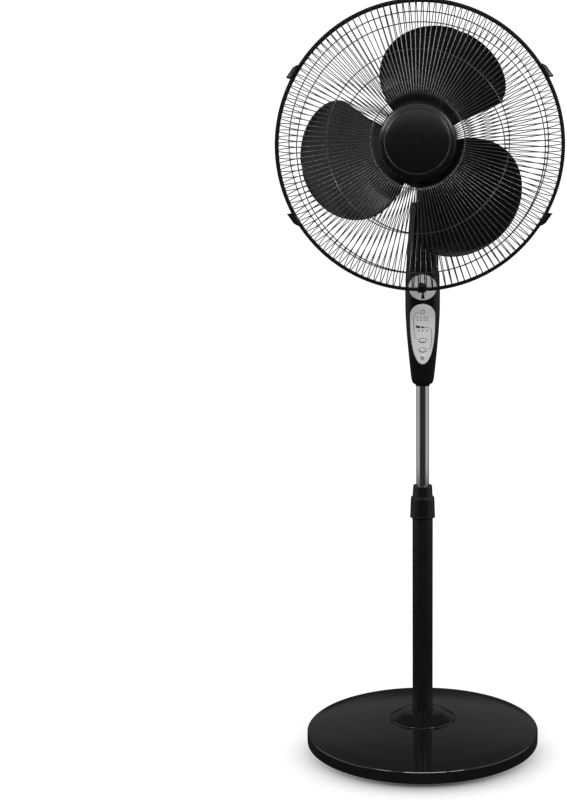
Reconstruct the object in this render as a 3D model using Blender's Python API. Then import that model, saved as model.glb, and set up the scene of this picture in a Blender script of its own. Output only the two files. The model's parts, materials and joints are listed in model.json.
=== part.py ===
"""Pedestal fan. Metres, +Z up, the fan blows towards -Y, origin on the floor at the base's centre."""

import math

import bmesh
import bpy
import numpy as np
from mathutils import Matrix, Vector

# Driving dimensions of the stand
BASE_R = 0.1975
RIM_H = 0.0222
BOSS_R = 0.056
POLE_R = 0.0165
POLE_WALL = 0.0015
POLE_TOP = 0.4230
TUBE_R = 0.0107
TUBE_WALL = 0.0012
TUBE_LOW = 0.2620
TUBE_HIGH = 0.6400
NUT_LOW = 0.3910
NUT_HIGH = 0.4255
COLLET_TOP = 0.4460

# Driving dimensions of the control housing, low to high
HOUSING_Z = [0.6180, 0.6266, 0.6600, 0.7000, 0.7400, 0.7709, 0.8035]
HOUSING_HALF_W = [0.0150, 0.0190, 0.0226, 0.0263, 0.02855, 0.02875, 0.0275]
HOUSING_HALF_D = [0.0145, 0.0170, 0.0205, 0.0240, 0.0262, 0.0270, 0.0265]
HOUSING_POWER = 3.0
WALL = 0.0024
DECK_Z = 0.8000
PANEL_LOW = 0.6520
PANEL_WIDE = 0.7330
PANEL_TOP = 0.7520
PANEL_HALF_W = 0.0206
DISC_Z = 0.7790
DISC_RX = 0.0230
DISC_RZ = 0.0210
BUTTONS = {"speed_button": (0.6921, 0.0061, 0.0032), "mode_button": (0.6760, 0.0061, 0.0032),
           "power_button": (0.6644, 0.0040, 0.0030)}
BUTTON_GAP = 0.0004

# Tilt pivot and head, in the tilting frame
PIVOT_Z = 0.8330
TILT_UP_DEG = 5.0
YAW_DEG = -2.5
MOTOR_Z = 0.1626
RIM_Y = -0.1146
RIM_R_IN = 0.2203
RIM_R_OUT = 0.2253
RIBS = 24
RIB_HALF_W = 0.0015
GRILLE_T = 0.0030
BLADE_TIP_R = 0.1855
BLADE_Y = -0.1050
BLADE_HUB_R = 0.0465
GEAR_TEETH = 16
PINION_TEETH = 8
GEAR_MODULE = 0.0010
GEAR_CENTRE = 0.01215
CLIP_HINGE_R = 0.2228
CLIP_HINGE_S = 0.0026
GAP = 0.0003

for old in list(bpy.data.objects):
    bpy.data.objects.remove(old, do_unlink=True)
scene = bpy.context.scene
scene.unit_settings.scale_length = 1.0


def material(name, colour, metallic, roughness):
    made = bpy.data.materials.new(name)
    made.use_nodes = True
    shader = made.node_tree.nodes["Principled BSDF"]
    shader.inputs["Base Color"].default_value = (*colour, 1.0)
    shader.inputs["Metallic"].default_value = metallic
    shader.inputs["Roughness"].default_value = roughness
    made.diffuse_color = (*colour, 1.0)
    return made


LOOKS = {
    "gloss_black": ((0.012, 0.012, 0.013), 0.0, 0.12),
    "satin_black": ((0.016, 0.016, 0.017), 0.0, 0.38),
    "pole_paint": ((0.014, 0.014, 0.015), 0.0, 0.25),
    "wire_black": ((0.020, 0.020, 0.021), 0.0, 0.30),
    "chrome": ((0.80, 0.80, 0.82), 1.0, 0.08),
    "silver": ((0.62, 0.62, 0.63), 0.7, 0.32),
    "steel": ((0.50, 0.50, 0.51), 1.0, 0.35),
    "iron": ((0.10, 0.10, 0.10), 0.6, 0.60),
    "alloy": ((0.60, 0.61, 0.62), 1.0, 0.45),
    "copper": ((0.72, 0.36, 0.20), 1.0, 0.40),
    "bronze": ((0.55, 0.40, 0.18), 1.0, 0.40),
    "rubber": ((0.02, 0.02, 0.02), 0.0, 0.80),
    "board_green": ((0.02, 0.16, 0.07), 0.0, 0.45),
    "nylon_white": ((0.78, 0.78, 0.74), 0.0, 0.45),
}


def empty(name, parent=None, at=(0, 0, 0), turn=None):
    made = bpy.data.objects.new(name, None)
    scene.collection.objects.link(made)
    made.parent = parent
    made.matrix_local = Matrix.Translation(at) @ (turn or Matrix.Identity(4))
    return made


def solid(name, verts, faces, look, parent=None, helper=False, flat=False):
    mesh = bpy.data.meshes.new(name)
    mesh.from_pydata([tuple(v) for v in verts], [], faces)
    work = bmesh.new()
    work.from_mesh(mesh)
    bmesh.ops.recalc_face_normals(work, faces=work.faces)
    if work.calc_volume(signed=True) < 0:
        bmesh.ops.reverse_faces(work, faces=work.faces)
    work.to_mesh(mesh)
    work.free()
    if not flat:
        mesh.shade_smooth()
        mesh.set_sharp_from_angle(angle=math.radians(32))
    made = bpy.data.objects.new(name, mesh)
    scene.collection.objects.link(made)
    made.parent = parent
    if helper:
        made.hide_render = True
        made.display_type = "WIRE"
    else:
        own = bpy.data.materials.get(name + "_" + look)
        mesh.materials.append(own or material(name + "_" + look, *LOOKS[look]))
    return made


def cut(target, cutter, operation="DIFFERENCE"):
    step = target.modifiers.new(operation.lower() + "_" + cutter.name, "BOOLEAN")
    step.operation = operation
    step.solver = "EXACT"
    step.object = cutter


def turned(points, count, axis="Z", at=(0, 0, 0)):
    """Closed (radius, along) outline turned about an axis, as vertices and faces."""
    verts, rings = [], []
    for radius, along in points:
        if radius < 1e-9:
            rings.append([len(verts)] * count)
            verts.append((0.0, 0.0, along))
            continue
        rings.append(list(range(len(verts), len(verts) + count)))
        for k in range(count):
            angle = 2 * math.pi * k / count
            verts.append((radius * math.cos(angle), radius * math.sin(angle), along))
    faces = []
    for a, b in zip(rings, rings[1:] + rings[:1]):
        for k in range(count):
            n = (k + 1) % count
            loop = []
            for index in (a[k], a[n], b[n], b[k]):
                if index not in loop:
                    loop.append(index)
            if len(loop) > 2:
                faces.append(loop)
    order = {"Z": (0, 1, 2), "Y": (0, 2, 1), "X": (2, 0, 1)}[axis]
    verts = [tuple(v[order[i]] + at[i] for i in range(3)) for v in verts]
    return verts, faces


def lathe(name, points, look, count=32, axis="Z", at=(0, 0, 0), parent=None, helper=False):
    verts, faces = turned(points, count, axis, at)
    return solid(name, verts, faces, look, parent, helper)


def loft(name, rings, look, parent=None, helper=False, flat=False):
    """Rings of equal length joined into one body with a cap at each end."""
    count = len(rings[0])
    verts = [p for ring in rings for p in ring]
    faces = [list(range(count)), list(range(len(verts) - count, len(verts)))]
    for r in range(len(rings) - 1):
        for k in range(count):
            n = (k + 1) % count
            faces.append([r * count + k, r * count + n, (r + 1) * count + n, (r + 1) * count + k])
    return solid(name, verts, faces, look, parent, helper, flat)


def oval(half_w, half_d, z, power=2.0, count=32, centre=(0, 0)):
    ring = []
    for k in range(count):
        c, s = math.cos(2 * math.pi * k / count), math.sin(2 * math.pi * k / count)
        x = half_w * math.copysign(abs(c) ** (2 / power), c)
        y = half_d * math.copysign(abs(s) ** (2 / power), s)
        ring.append((x + centre[0], y + centre[1], z))
    return ring


def box(name, low, high, look, parent=None, helper=False):
    (x0, y0, z0), (x1, y1, z1) = low, high
    rings = [[(x0, y0, z), (x1, y0, z), (x1, y1, z), (x0, y1, z)] for z in (z0, z1)]
    return loft(name, rings, look, parent, helper, flat=True)


def prism_x(name, outline, half, look, parent=None, helper=False):
    """A (y, z) outline extruded along X."""
    return loft(name, [[(x, y, z) for y, z in outline] for x in (-half, half)], look, parent, helper)


# ---------------------------------------------------------------- stand
stand = empty("stand_body")

lathe("base_cover", [
    (BASE_R, 0.0016), (BASE_R, 0.0190), (BASE_R - 0.0012, RIM_H - 0.0006), (BASE_R - 0.0042, RIM_H + 0.0006),
    (0.160, 0.0285), (0.120, 0.0333), (0.085, 0.0362), (BOSS_R + 0.0012, 0.0378), (0.0205, 0.0378),
    (0.0205, 0.0352), (0.085, 0.0336), (0.120, 0.0307), (0.160, 0.0259), (BASE_R - 0.0050, 0.0198),
    (BASE_R - 0.0026, 0.0170), (BASE_R - 0.0026, 0.0016)], "gloss_black", 44, parent=stand)
lathe("base_weight", [
    (0.0125, 0.0040), (0.1720, 0.0040), (0.1720, 0.0095), (0.0420, 0.0095), (0.0400, 0.0300), (0.0050, 0.0300),
    (0.0050, 0.0110), (0.0125, 0.0110)], "iron", 32, parent=stand)
for number in range(4):
    angle = math.radians(45 + 90 * number)
    centre = (0.150 * math.cos(angle), 0.150 * math.sin(angle), 0)
    lathe(f"foot_{number + 1}", [(0, 0), (0.0120, 0), (0.0130, 0.0010), (0.0130, 0.0037), (0, 0.0037)],
          "rubber", 14, at=centre, parent=stand)
lathe("boss_trim", [
    (BOSS_R, 0.0382), (BOSS_R, 0.0408), (0.0545, 0.0420), (0.0360, 0.0454), (0.0195, 0.0468),
    (0.0184, 0.0550), (0.0169, 0.0550), (0.0169, 0.0440), (0.0360, 0.0428), (0.0530, 0.0398), (0.0534, 0.0382)],
    "gloss_black", 36, parent=stand)
lathe("pole_foot", [
    (0, 0.0620), (0.0043, 0.0620), (0.0043, 0.0304), (0.0146, 0.0304), (0.0146, 0.0760), (0, 0.0760)],
    "steel", 24, parent=stand)
lathe("anchor_bolt", [
    (0, 0.0045), (0.0075, 0.0045), (0.0075, 0.0100), (0.0038, 0.0100), (0.0038, 0.0600), (0, 0.0600)],
    "steel", 14, parent=stand)
lathe("outer_pole", [
    (POLE_R, 0.0304), (POLE_R, POLE_TOP), (POLE_R - POLE_WALL, POLE_TOP), (POLE_R - POLE_WALL, 0.0304)],
    "pole_paint", 32, parent=stand)
lathe("collet", [
    (POLE_R + GAP, 0.3960), (0.0184, 0.3960), (0.0184, 0.4260), (0.0168, 0.4266), (0.0158, COLLET_TOP - 0.0010),
    (0.0150, COLLET_TOP), (TUBE_R + GAP, COLLET_TOP), (TUBE_R + GAP, POLE_TOP + GAP),
    (POLE_R + GAP, POLE_TOP + GAP)], "satin_black", 28, parent=stand)
nut_body = empty("lock_nut_body", at=(0, 0, NUT_LOW))
lathe("lock_nut", [
    (0.0190, 0.0), (0.0207, 0.0), (0.0207, 0.0040), (0.0201, NUT_HIGH - NUT_LOW - 0.0020),
    (0.0196, NUT_HIGH - NUT_LOW), (0.0190, NUT_HIGH - NUT_LOW)], "satin_black", 28, parent=nut_body)

# ---------------------------------------------------------------- sliding column
column = empty("column_body")

lathe("inner_tube", [
    (TUBE_R, TUBE_LOW), (TUBE_R, TUBE_HIGH), (TUBE_R - TUBE_WALL, TUBE_HIGH), (TUBE_R - TUBE_WALL, TUBE_LOW)],
    "chrome", 32, parent=column)
lathe("tube_bush", [
    (0.0146, TUBE_LOW), (0.0146, TUBE_LOW + 0.025), (TUBE_R + GAP, TUBE_LOW + 0.025), (TUBE_R + GAP, TUBE_LOW)],
    "nylon_white", 24, parent=column)

lug = [(-0.0075, 0.6600)]
for step in range(13):
    start = math.asin(0.0075 / 0.018)
    angle = -math.pi / 2 - start - (2 * math.pi - 2 * start) * step / 12
    lug.append((0.018 * math.cos(angle), PIVOT_Z + 0.018 * math.sin(angle)))
lug.append((0.0075, 0.6600))
neck_bracket = prism_x("neck_bracket", lug, 0.0120, "alloy", column)
socket = lathe("socket_shape", [(0, 0.6235), (0.0124, 0.6235), (0.0124, 0.6680), (0, 0.6680)], "alloy", 24,
               parent=column, helper=True)
tube_bore = lathe("tube_bore_shape", [(0, 0.6100), (TUBE_R + GAP, 0.6100), (TUBE_R + GAP, TUBE_HIGH + GAP),
                                      (0, TUBE_HIGH + GAP)], "alloy", 32, parent=column, helper=True)
lug_bore = lathe("lug_bore_shape", [(0, -0.03), (0.0044, -0.03), (0.0044, 0.03), (0, 0.03)], "alloy", 20,
                 axis="X", at=(0, 0, PIVOT_Z), parent=column, helper=True)
cut(neck_bracket, socket, "UNION")
cut(neck_bracket, tube_bore)
cut(neck_bracket, lug_bore)


def housing_half(z):
    return (float(np.interp(z, HOUSING_Z, HOUSING_HALF_W)), float(np.interp(z, HOUSING_Z, HOUSING_HALF_D)))


def housing_face(x, z):
    """Depth of the housing's front surface at x, z: a positive distance towards -Y."""
    half_w, half_d = housing_half(z)
    inside = max(0.0, 1 - (abs(x) / half_w) ** HOUSING_POWER)
    return half_d * inside ** (1 / HOUSING_POWER)


def housing_shell(name, side):
    """Half of the control housing: side -1 is the front shell, +1 the rear one."""
    steps = 14
    rings = []
    rows = [(z, None) for z in HOUSING_Z[:-1]] + [(DECK_Z, None), (DECK_Z + 0.0003, "slot"), (HOUSING_Z[-1], "slot")]
    for z, kind in rows:
        half_w, half_d = housing_half(z)
        ring = []
        for k in range(steps + 1):
            angle = math.pi * k / steps
            c, s = math.cos(angle), math.sin(angle)
            x = half_w * math.copysign(abs(c) ** (2 / HOUSING_POWER), c)
            y = half_d * abs(s) ** (2 / HOUSING_POWER)
            ring.append((x, side * max(y, 0.0002), z))
        for k in range(steps, -1, -1):
            angle = math.pi * k / steps
            c, s = math.cos(angle), math.sin(angle)
            if kind == "slot":
                reach = 1 / max(abs(c) / 0.0150, abs(s) / 0.0105)
                x, y = reach * c, reach * s
            else:
                x = (half_w - WALL) * math.copysign(abs(c) ** (2 / HOUSING_POWER), c)
                y = (half_d - WALL) * abs(s) ** (2 / HOUSING_POWER)
            ring.append((x, side * max(y, 0.0002), z))
        rings.append(ring)
    return loft(name, rings, "satin_black", column)


def curved_plate(name, low, high, half_width, near, far, rows, look):
    """A plate that follows the housing's front surface, between two distances outside it."""
    across = 8
    layers = []
    for out in (near, far):
        grid = []
        for r in range(rows + 1):
            z = low + (high - low) * 0.5 * (1 - math.cos(math.pi * (0.06 + 0.88 * r / rows)))
            half = half_width(z)
            line = []
            for k in range(across + 1):
                x = -half * math.cos(math.pi * k / across)
                line.append((x, -housing_face(x, z) - out, z))
            grid.append(line)
        layers.append(grid)
    verts = [p for grid in layers for line in grid for p in line]
    wide = across + 1
    second = wide * (rows + 1)
    faces = []
    for base in (0, second):
        for r in range(rows):
            for k in range(across):
                a = base + r * wide + k
                faces.append([a, a + 1, a + wide + 1, a + wide])
    border = [k for k in range(wide)] + [r * wide + across for r in range(1, rows + 1)]
    border += [rows * wide + k for k in range(across - 1, -1, -1)] + [r * wide for r in range(rows - 1, 0, -1)]
    for a, b in zip(border, border[1:] + border[:1]):
        faces.append([a, b, b + second, a + second])
    return solid(name, verts, faces, look, column)


def panel_half(z):
    if z > PANEL_WIDE:
        share = (z - PANEL_WIDE) / (PANEL_TOP - PANEL_WIDE)
        return PANEL_HALF_W * math.sqrt(max(0.0, 1 - share ** 2))
    share = (PANEL_WIDE - z) / (PANEL_WIDE - PANEL_LOW)
    return PANEL_HALF_W * max(0.0, 1 - share ** 2) ** 0.75


def disc_half(z):
    return DISC_RX * math.sqrt(max(0.0, 1 - ((z - DISC_Z) / DISC_RZ) ** 2))


housing_front = housing_shell("housing_front", -1)
housing_rear = housing_shell("housing_rear", 1)
control_panel = curved_plate("control_panel", PANEL_LOW, PANEL_TOP, panel_half, 0.0003, 0.0015, 11, "silver")
curved_plate("front_disc", DISC_Z - DISC_RZ, DISC_Z + DISC_RZ, disc_half, 0.0007, 0.0020, 8, "silver")

for name, (z, half_w, half_h) in BUTTONS.items():
    face = housing_face(0, z)
    body = empty(name + "_body", column, (0, -face, z))
    rings = []
    for y, inset in ((-0.0028, 0.0008), (-0.0022, 0.0), (face - 0.0163, 0.0)):
        ring = []
        for k in range(16):
            angle = 2 * math.pi * k / 16
            ring.append(((half_w - inset) * math.cos(angle), y, (half_h - inset) * math.sin(angle)))
        rings.append(ring)
    loft(name, rings, "silver", body)
    hole = []
    for y in (-face - 0.01, -face + 0.012):
        ring = []
        for k in range(16):
            angle = 2 * math.pi * k / 16
            ring.append(((half_w + BUTTON_GAP) * math.cos(angle), y, z + (half_h + BUTTON_GAP) * math.sin(angle)))
        hole.append(ring)
    window = loft(name + "_window_shape", hole, "silver", column, helper=True)
    cut(housing_front, window)
    cut(control_panel, window)

box("circuit_board", (-0.0130, -0.0150, 0.6580), (0.0130, -0.0134, 0.7450), "board_green", column)

inlet_z = 0.6450
inlet_y = housing_half(inlet_z)[1]
lathe("cord_inlet", [
    (0.0028, 0.0135), (0.0046, 0.0135), (0.0046, inlet_y + 0.0014), (0.0068, inlet_y + 0.0014),
    (0.0064, inlet_y + 0.0030), (0.0044, inlet_y + 0.0110), (0.0028, inlet_y + 0.0110)], "rubber", 16,
    axis="Y", at=(0, 0, inlet_z), parent=column)
inlet_hole = lathe("inlet_hole_shape", [(0, 0.010), (0.0050, 0.010), (0.0050, 0.040), (0, 0.040)], "rubber", 20,
                   axis="Y", at=(0, 0, inlet_z), parent=column, helper=True)
cut(housing_rear, inlet_hole)
screw_z = 0.7400
screw_y = housing_half(screw_z)[1]
lathe("housing_screw", [
    (0, 0.0080), (0.0018, 0.0080), (0.0018, screw_y + 0.0006), (0.0042, screw_y + 0.0006),
    (0.0038, screw_y + 0.0026), (0, screw_y + 0.0030)], "steel", 16, axis="Y", at=(0, 0, screw_z), parent=column)
screw_hole = lathe("screw_hole_shape", [(0, 0.015), (0.0023, 0.015), (0.0023, 0.040), (0, 0.040)], "steel", 16,
                   axis="Y", at=(0, 0, screw_z), parent=column, helper=True)
cut(housing_rear, screw_hole)

# ---------------------------------------------------------------- tilting neck
tilt = empty("tilt_body", at=(0, 0, PIVOT_Z), turn=Matrix.Rotation(math.radians(-TILT_UP_DEG), 4, "X"))
NECK_TOP = 0.0775


def neck_ring(z, inset=0.0):
    share = max(0.0, z) / NECK_TOP
    half_w = 0.0259 - 0.0059 * share
    half_d = 0.0250 - 0.0065 * share if z >= 0 else math.sqrt(0.0250 ** 2 - z ** 2)
    return oval(half_w - inset, half_d - inset, z, 2.6, 20)


neck_shell = loft("neck_shell", [neck_ring(z) for z in (-0.0240, -0.0205, -0.0130, 0.0, 0.0380,
                                                         NECK_TOP)], "satin_black", tilt)
cavity = loft("neck_cavity_shape", [neck_ring(z, 0.0026) for z in (0.0300, NECK_TOP + 0.0010)],
              "satin_black", tilt, helper=True)
fork = box("fork_slot_shape", (-0.0126, -0.0300, -0.0300), (0.0126, 0.0300, 0.0225), "satin_black", tilt, helper=True)
pivot_bore = lathe("pivot_bore_shape", [(0, -0.03), (0.0044, -0.03), (0.0044, 0.03), (0, 0.03)], "steel", 20,
                   axis="X", parent=tilt, helper=True)
head_recess = lathe("head_recess_shape", [(0, -0.0300), (0.0082, -0.0300), (0.0082, -0.0200), (0, -0.0200)], "steel",
                    20, axis="X", parent=tilt, helper=True)
nut_recess = lathe("nut_recess_shape", [(0, 0.0200), (0.0082, 0.0200), (0.0082, 0.0300), (0, 0.0300)], "steel",
                   20, axis="X", parent=tilt, helper=True)
for cutter in (cavity, fork, pivot_bore, head_recess, nut_recess):
    cut(neck_shell, cutter)
lathe("tilt_bolt", [(0, -0.0252), (0.0074, -0.0252), (0.0074, -0.0203), (0.0040, -0.0203), (0.0040, 0.0253),
                    (0, 0.0253)], "steel", 18, axis="X", parent=tilt)
lathe("tilt_nut", [(0.0043, 0.0203), (0.0074, 0.0203), (0.0074, 0.0248), (0.0043, 0.0248)], "steel", 18,
      axis="X", parent=tilt)
neck_cap = loft("neck_cap", [oval(0.0199, 0.0184, z, 2.6, 20) for z in (0.0778, 0.0818)], "satin_black", tilt)
cap_hole = lathe("cap_hole_shape", [(0, 0.07), (0.0122, 0.07), (0.0122, 0.09), (0, 0.09)], "steel", 20,
                 parent=tilt, helper=True)
cut(neck_cap, cap_hole)
lathe("swivel_bush", [(0.0093, 0.0770), (0.0119, 0.0770), (0.0119, 0.0822), (0.0093, 0.0822)], "nylon_white", 20,
      parent=tilt)
lathe("swing_motor", [(0, 0.0304), (0.0130, 0.0304), (0.0130, 0.0500), (0, 0.0500)], "steel", 24,
      at=(0, 0.0035, 0), parent=tilt)


def toothed(name, teeth, bore, low, high, look, parent, phase, stub=None):
    """A spur gear with straight-sided teeth, with a bore or with a stub shaft below it."""
    pitch = GEAR_MODULE * teeth / 2
    step = 2 * math.pi / teeth
    outer, inner = [], []
    for k in range(teeth):
        middle = phase + k * step
        for turn, radius in ((-0.27, pitch - 1.05 * GEAR_MODULE), (-0.12, pitch + 0.75 * GEAR_MODULE),
                             (0.12, pitch + 0.75 * GEAR_MODULE), (0.27, pitch - 1.05 * GEAR_MODULE)):
            angle = middle + turn * step
            outer.append((radius * math.cos(angle), radius * math.sin(angle)))
            inner.append((bore * math.cos(angle), bore * math.sin(angle)))
    count = len(outer)
    loops = [(inner, low), (outer, low), (outer, high), (inner, high)]
    if stub is not None:
        loops = [(inner, stub), (inner, low), (outer, low), (outer, high)]
    verts = [(x, y, z) for loop, z in loops for x, y in loop]
    pairs = list(zip(range(3), range(1, 4)))
    faces = []
    if stub is None:
        pairs.append((3, 0))
    else:
        faces = [list(range(count)), list(range(3 * count, 4 * count))]
    for a, b in pairs:
        for k in range(count):
            n = (k + 1) % count
            faces.append([a * count + k, a * count + n, b * count + n, b * count + k])
    return solid(name, verts, faces, look, parent)


pinion_body = empty("swing_pinion_body", tilt, (0, GEAR_CENTRE, 0))
toothed("swing_pinion", PINION_TEETH, 0.0015, 0.0555, 0.0635, "nylon_white", pinion_body,
        -math.pi / 2 + math.pi / PINION_TEETH, stub=0.0504)

# ---------------------------------------------------------------- head
head = empty("head_body", tilt, turn=Matrix.Rotation(math.radians(YAW_DEG), 4, "Z"))
AXIS = (0, 0, MOTOR_Z)

lathe("swivel_spindle", [
    (0, 0.0530), (0.0050, 0.0530), (0.0050, 0.0700), (0.0090, 0.0700), (0.0090, 0.0824), (0.0105, 0.0826),
    (0.0105, 0.0862), (0, 0.0862)], "steel", 24, parent=head)
toothed("spindle_gear", GEAR_TEETH, 0.0053, 0.0560, 0.0630, "nylon_white", head,
        math.pi / 2 - math.radians(YAW_DEG))
lathe("swivel_bracket", [
    (0, 0.0866), (0.0105, 0.0866), (0.0105, 0.1096), (0.0125, 0.1100), (0.0125, 0.1118), (0, 0.1118)],
    "alloy", 24, parent=head)
lathe("front_bell", [
    (0.0083, -0.0720), (0.0188, -0.0720), (0.0188, -0.0480), (0.0500, -0.0480), (0.0500, -0.0125),
    (0.0470, -0.0125), (0.0470, -0.0450), (0.0083, -0.0450)],
    "alloy", 26, axis="Y", at=AXIS, parent=head)
lathe("rear_bell", [
    (0.0500, -0.0122), (0.0500, 0.0220), (0.0115, 0.0220), (0.0115, 0.0380), (0, 0.0380), (0, 0.0345),
    (0.0083, 0.0345), (0.0083, 0.0190), (0.0470, 0.0190), (0.0470, -0.0122)], "alloy", 26, axis="Y", at=AXIS,
    parent=head)
lathe("stator_core", [(0.0256, -0.0250), (0.0465, -0.0250), (0.0465, 0.0), (0.0256, 0.0)], "steel", 26,
      axis="Y", at=AXIS, parent=head)
lathe("front_winding", [
    (0.0290, -0.0365), (0.0360, -0.0390), (0.0430, -0.0365), (0.0430, -0.0254), (0.0290, -0.0254)],
    "copper", 22, axis="Y", at=AXIS, parent=head)
lathe("rear_winding", [
    (0.0290, 0.0004), (0.0430, 0.0004), (0.0430, 0.0110), (0.0360, 0.0135), (0.0290, 0.0110)], "copper", 22, axis="Y", at=AXIS, parent=head)
lathe("front_bearing", [(0.0042, -0.0600), (0.0080, -0.0600), (0.0080, -0.0450), (0.0042, -0.0450)], "bronze",
      20, axis="Y", at=AXIS, parent=head)
lathe("rear_bearing", [(0.0042, 0.0200), (0.0080, 0.0200), (0.0080, 0.0300), (0.0042, 0.0300)], "bronze",
      20, axis="Y", at=AXIS, parent=head)
lathe("motor_front_cover", [
    (0.0194, -0.0540), (0.0560, -0.0540), (0.0570, -0.0530), (0.0570, -0.0400), (0.0545, -0.0400),
    (0.0545, -0.0515), (0.0194, -0.0515)], "satin_black", 30, axis="Y", at=AXIS, parent=head)
motor_cover = lathe("motor_cover", [
    (0.0570, -0.0396), (0.0570, 0.0050), (0.0540, 0.0380), (0.0440, 0.0730), (0.0240, 0.0980), (0, 0.1040),
    (0, 0.1012), (0.0226, 0.0956), (0.0418, 0.0712), (0.0514, 0.0372), (0.0545, 0.0050), (0.0545, -0.0396)],
    "gloss_black", 30, axis="Y", at=AXIS, parent=head)
stem_hole = lathe("stem_hole_shape", [(0, 0.0900), (0.0120, 0.0900), (0.0120, 0.1200), (0, 0.1200)], "steel", 24,
                  parent=head, helper=True)
cut(motor_cover, stem_hole)
box("capacitor", (-0.0110, 0.0420, MOTOR_Z + 0.0040), (0.0110, 0.0580, MOTOR_Z + 0.0260), "satin_black", head)
lathe("guard_nut", [
    (0.0192, -0.0665), (0.0270, -0.0665), (0.0300, -0.0645), (0.0300, -0.0580), (0.0192, -0.0580)],
    "satin_black", 24, axis="Y", at=AXIS, parent=head)
badge_y = RIM_Y - 0.0640
lathe("badge_cap", [
    (0, badge_y), (0.0544, badge_y), (0.0548, badge_y - 0.0016), (0.0535, badge_y - 0.0036),
    (0.0480, badge_y - 0.0056), (0.0300, badge_y - 0.0084), (0, badge_y - 0.0096)], "satin_black", 36, axis="Y", at=AXIS, parent=head)


def grille(name, outline, kinds):
    """A turned lattice: each strip of the outline is a closed ring or only its ribs. outline holds (radius, y)."""
    normals = []
    for k in range(len(outline)):
        a = Vector(outline[max(0, k - 1)])
        b = Vector(outline[min(len(outline) - 1, k + 1)])
        along = (b - a).normalized()
        normals.append(Vector((-along.y, along.x)))
    columns = 2 * RIBS
    verts = []
    for side in (-0.5, 0.5):
        for (radius, y), normal in zip(outline, normals):
            r = radius + side * GRILLE_T * normal.x
            depth = y + side * GRILLE_T * normal.y
            for k in range(RIBS):
                middle = 2 * math.pi * (k + 0.5) / RIBS
                half = RIB_HALF_W / radius
                for angle in (middle - half, middle + half):
                    verts.append((r * math.cos(angle), depth, MOTOR_Z + r * math.sin(angle)))
    second = len(outline) * columns

    def filled(row, column_index):
        if row < 0 or row >= len(kinds):
            return False
        return kinds[row] == "ring" or column_index % 2 == 0

    faces = []
    for row in range(len(kinds)):
        for c in range(columns):
            if not filled(row, c):
                continue
            n = (c + 1) % columns
            a, b = row * columns + c, row * columns + n
            d, e = (row + 1) * columns + c, (row + 1) * columns + n
            faces.append([a, b, e, d])
            faces.append([a + second, b + second, e + second, d + second])
            if not filled(row - 1, c):
                faces.append([a, b, b + second, a + second])
            if not filled(row + 1, c):
                faces.append([d, e, e + second, d + second])
            if not filled(row, (c - 1) % columns):
                faces.append([a, d, d + second, a + second])
            if not filled(row, n):
                faces.append([b, e, e + second, b + second])
    return solid(name, verts, faces, "wire_black", head)


REAR_LINE = [(0.0196, 0.0585), (0.0600, 0.0585), (0.1315, 0.0545), (0.1355, 0.0540), (0.1680, 0.0490),
             (0.1945, 0.0412), (0.1985, 0.0392), (0.2135, 0.0235), (RIM_R_IN, 0.0026), (RIM_R_OUT, 0.0026)]
FRONT_LINE = [(0.0500, -0.0620), (0.0560, -0.0620), (0.1370, -0.0560), (0.1410, -0.0555), (0.1720, -0.0495),
              (0.1965, -0.0402), (0.2003, -0.0380), (0.2140, -0.0240), (RIM_R_IN, -0.0026),
              (RIM_R_OUT, -0.0026)]
STRIPS = ["ring", "rib", "ring", "rib", "rib", "ring", "rib", "rib", "ring"]
grille("rear_grille", [(r, RIM_Y + s) for r, s in REAR_LINE], STRIPS)
grille("front_grille", [(r, RIM_Y + s) for r, s in FRONT_LINE], STRIPS)

for number, degrees in enumerate((30, 150, 210, 330), 1):
    around = math.radians(degrees)
    at = (CLIP_HINGE_R * math.cos(around), RIM_Y + CLIP_HINGE_S, MOTOR_Z + CLIP_HINGE_R * math.sin(around))
    body = empty(f"rim_clip_{number}_body", head, at, Matrix.Rotation(math.pi / 2 - around, 4, "Y"))
    hook = [(0.2310, -0.0068), (0.2310, 0.0072), (0.2290, 0.0092), (0.2216, 0.0092), (0.2216, 0.0063),
            (0.2265, 0.0063), (0.2265, -0.0058), (0.2216, -0.0058), (0.2216, -0.0086), (0.2290, -0.0086)]
    prism_x(f"rim_clip_{number}", [(s - CLIP_HINGE_S, r - CLIP_HINGE_R) for r, s in hook], 0.0105, "satin_black",
            body)

lock = [(0.2300, -0.0090), (0.2300, 0.0090), (0.2108, 0.0090), (0.2108, 0.0060), (0.2264, 0.0060),
        (0.2264, -0.0060), (0.2108, -0.0060), (0.2108, -0.0090)]
rim_lock = prism_x("rim_lock", [(RIM_Y + s, MOTOR_Z - r) for r, s in lock], 0.0062, "satin_black", head)
lock_hole = lathe("lock_hole_shape", [(0, RIM_Y - 0.02), (0.0021, RIM_Y - 0.02), (0.0021, RIM_Y + 0.02),
                                      (0, RIM_Y + 0.02)], "steel", 16, axis="Y",
                  at=(0, 0, MOTOR_Z - 0.2142), parent=head, helper=True)
cut(rim_lock, lock_hole)
lathe("rim_lock_screw", [
    (0, RIM_Y - 0.0112), (0.0032, RIM_Y - 0.0108), (0.0034, RIM_Y - 0.0093), (0.0018, RIM_Y - 0.0093),
    (0.0018, RIM_Y + 0.0105), (0, RIM_Y + 0.0105)], "steel", 16, axis="Y", at=(0, 0, MOTOR_Z - 0.2142),
    parent=head)

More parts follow.
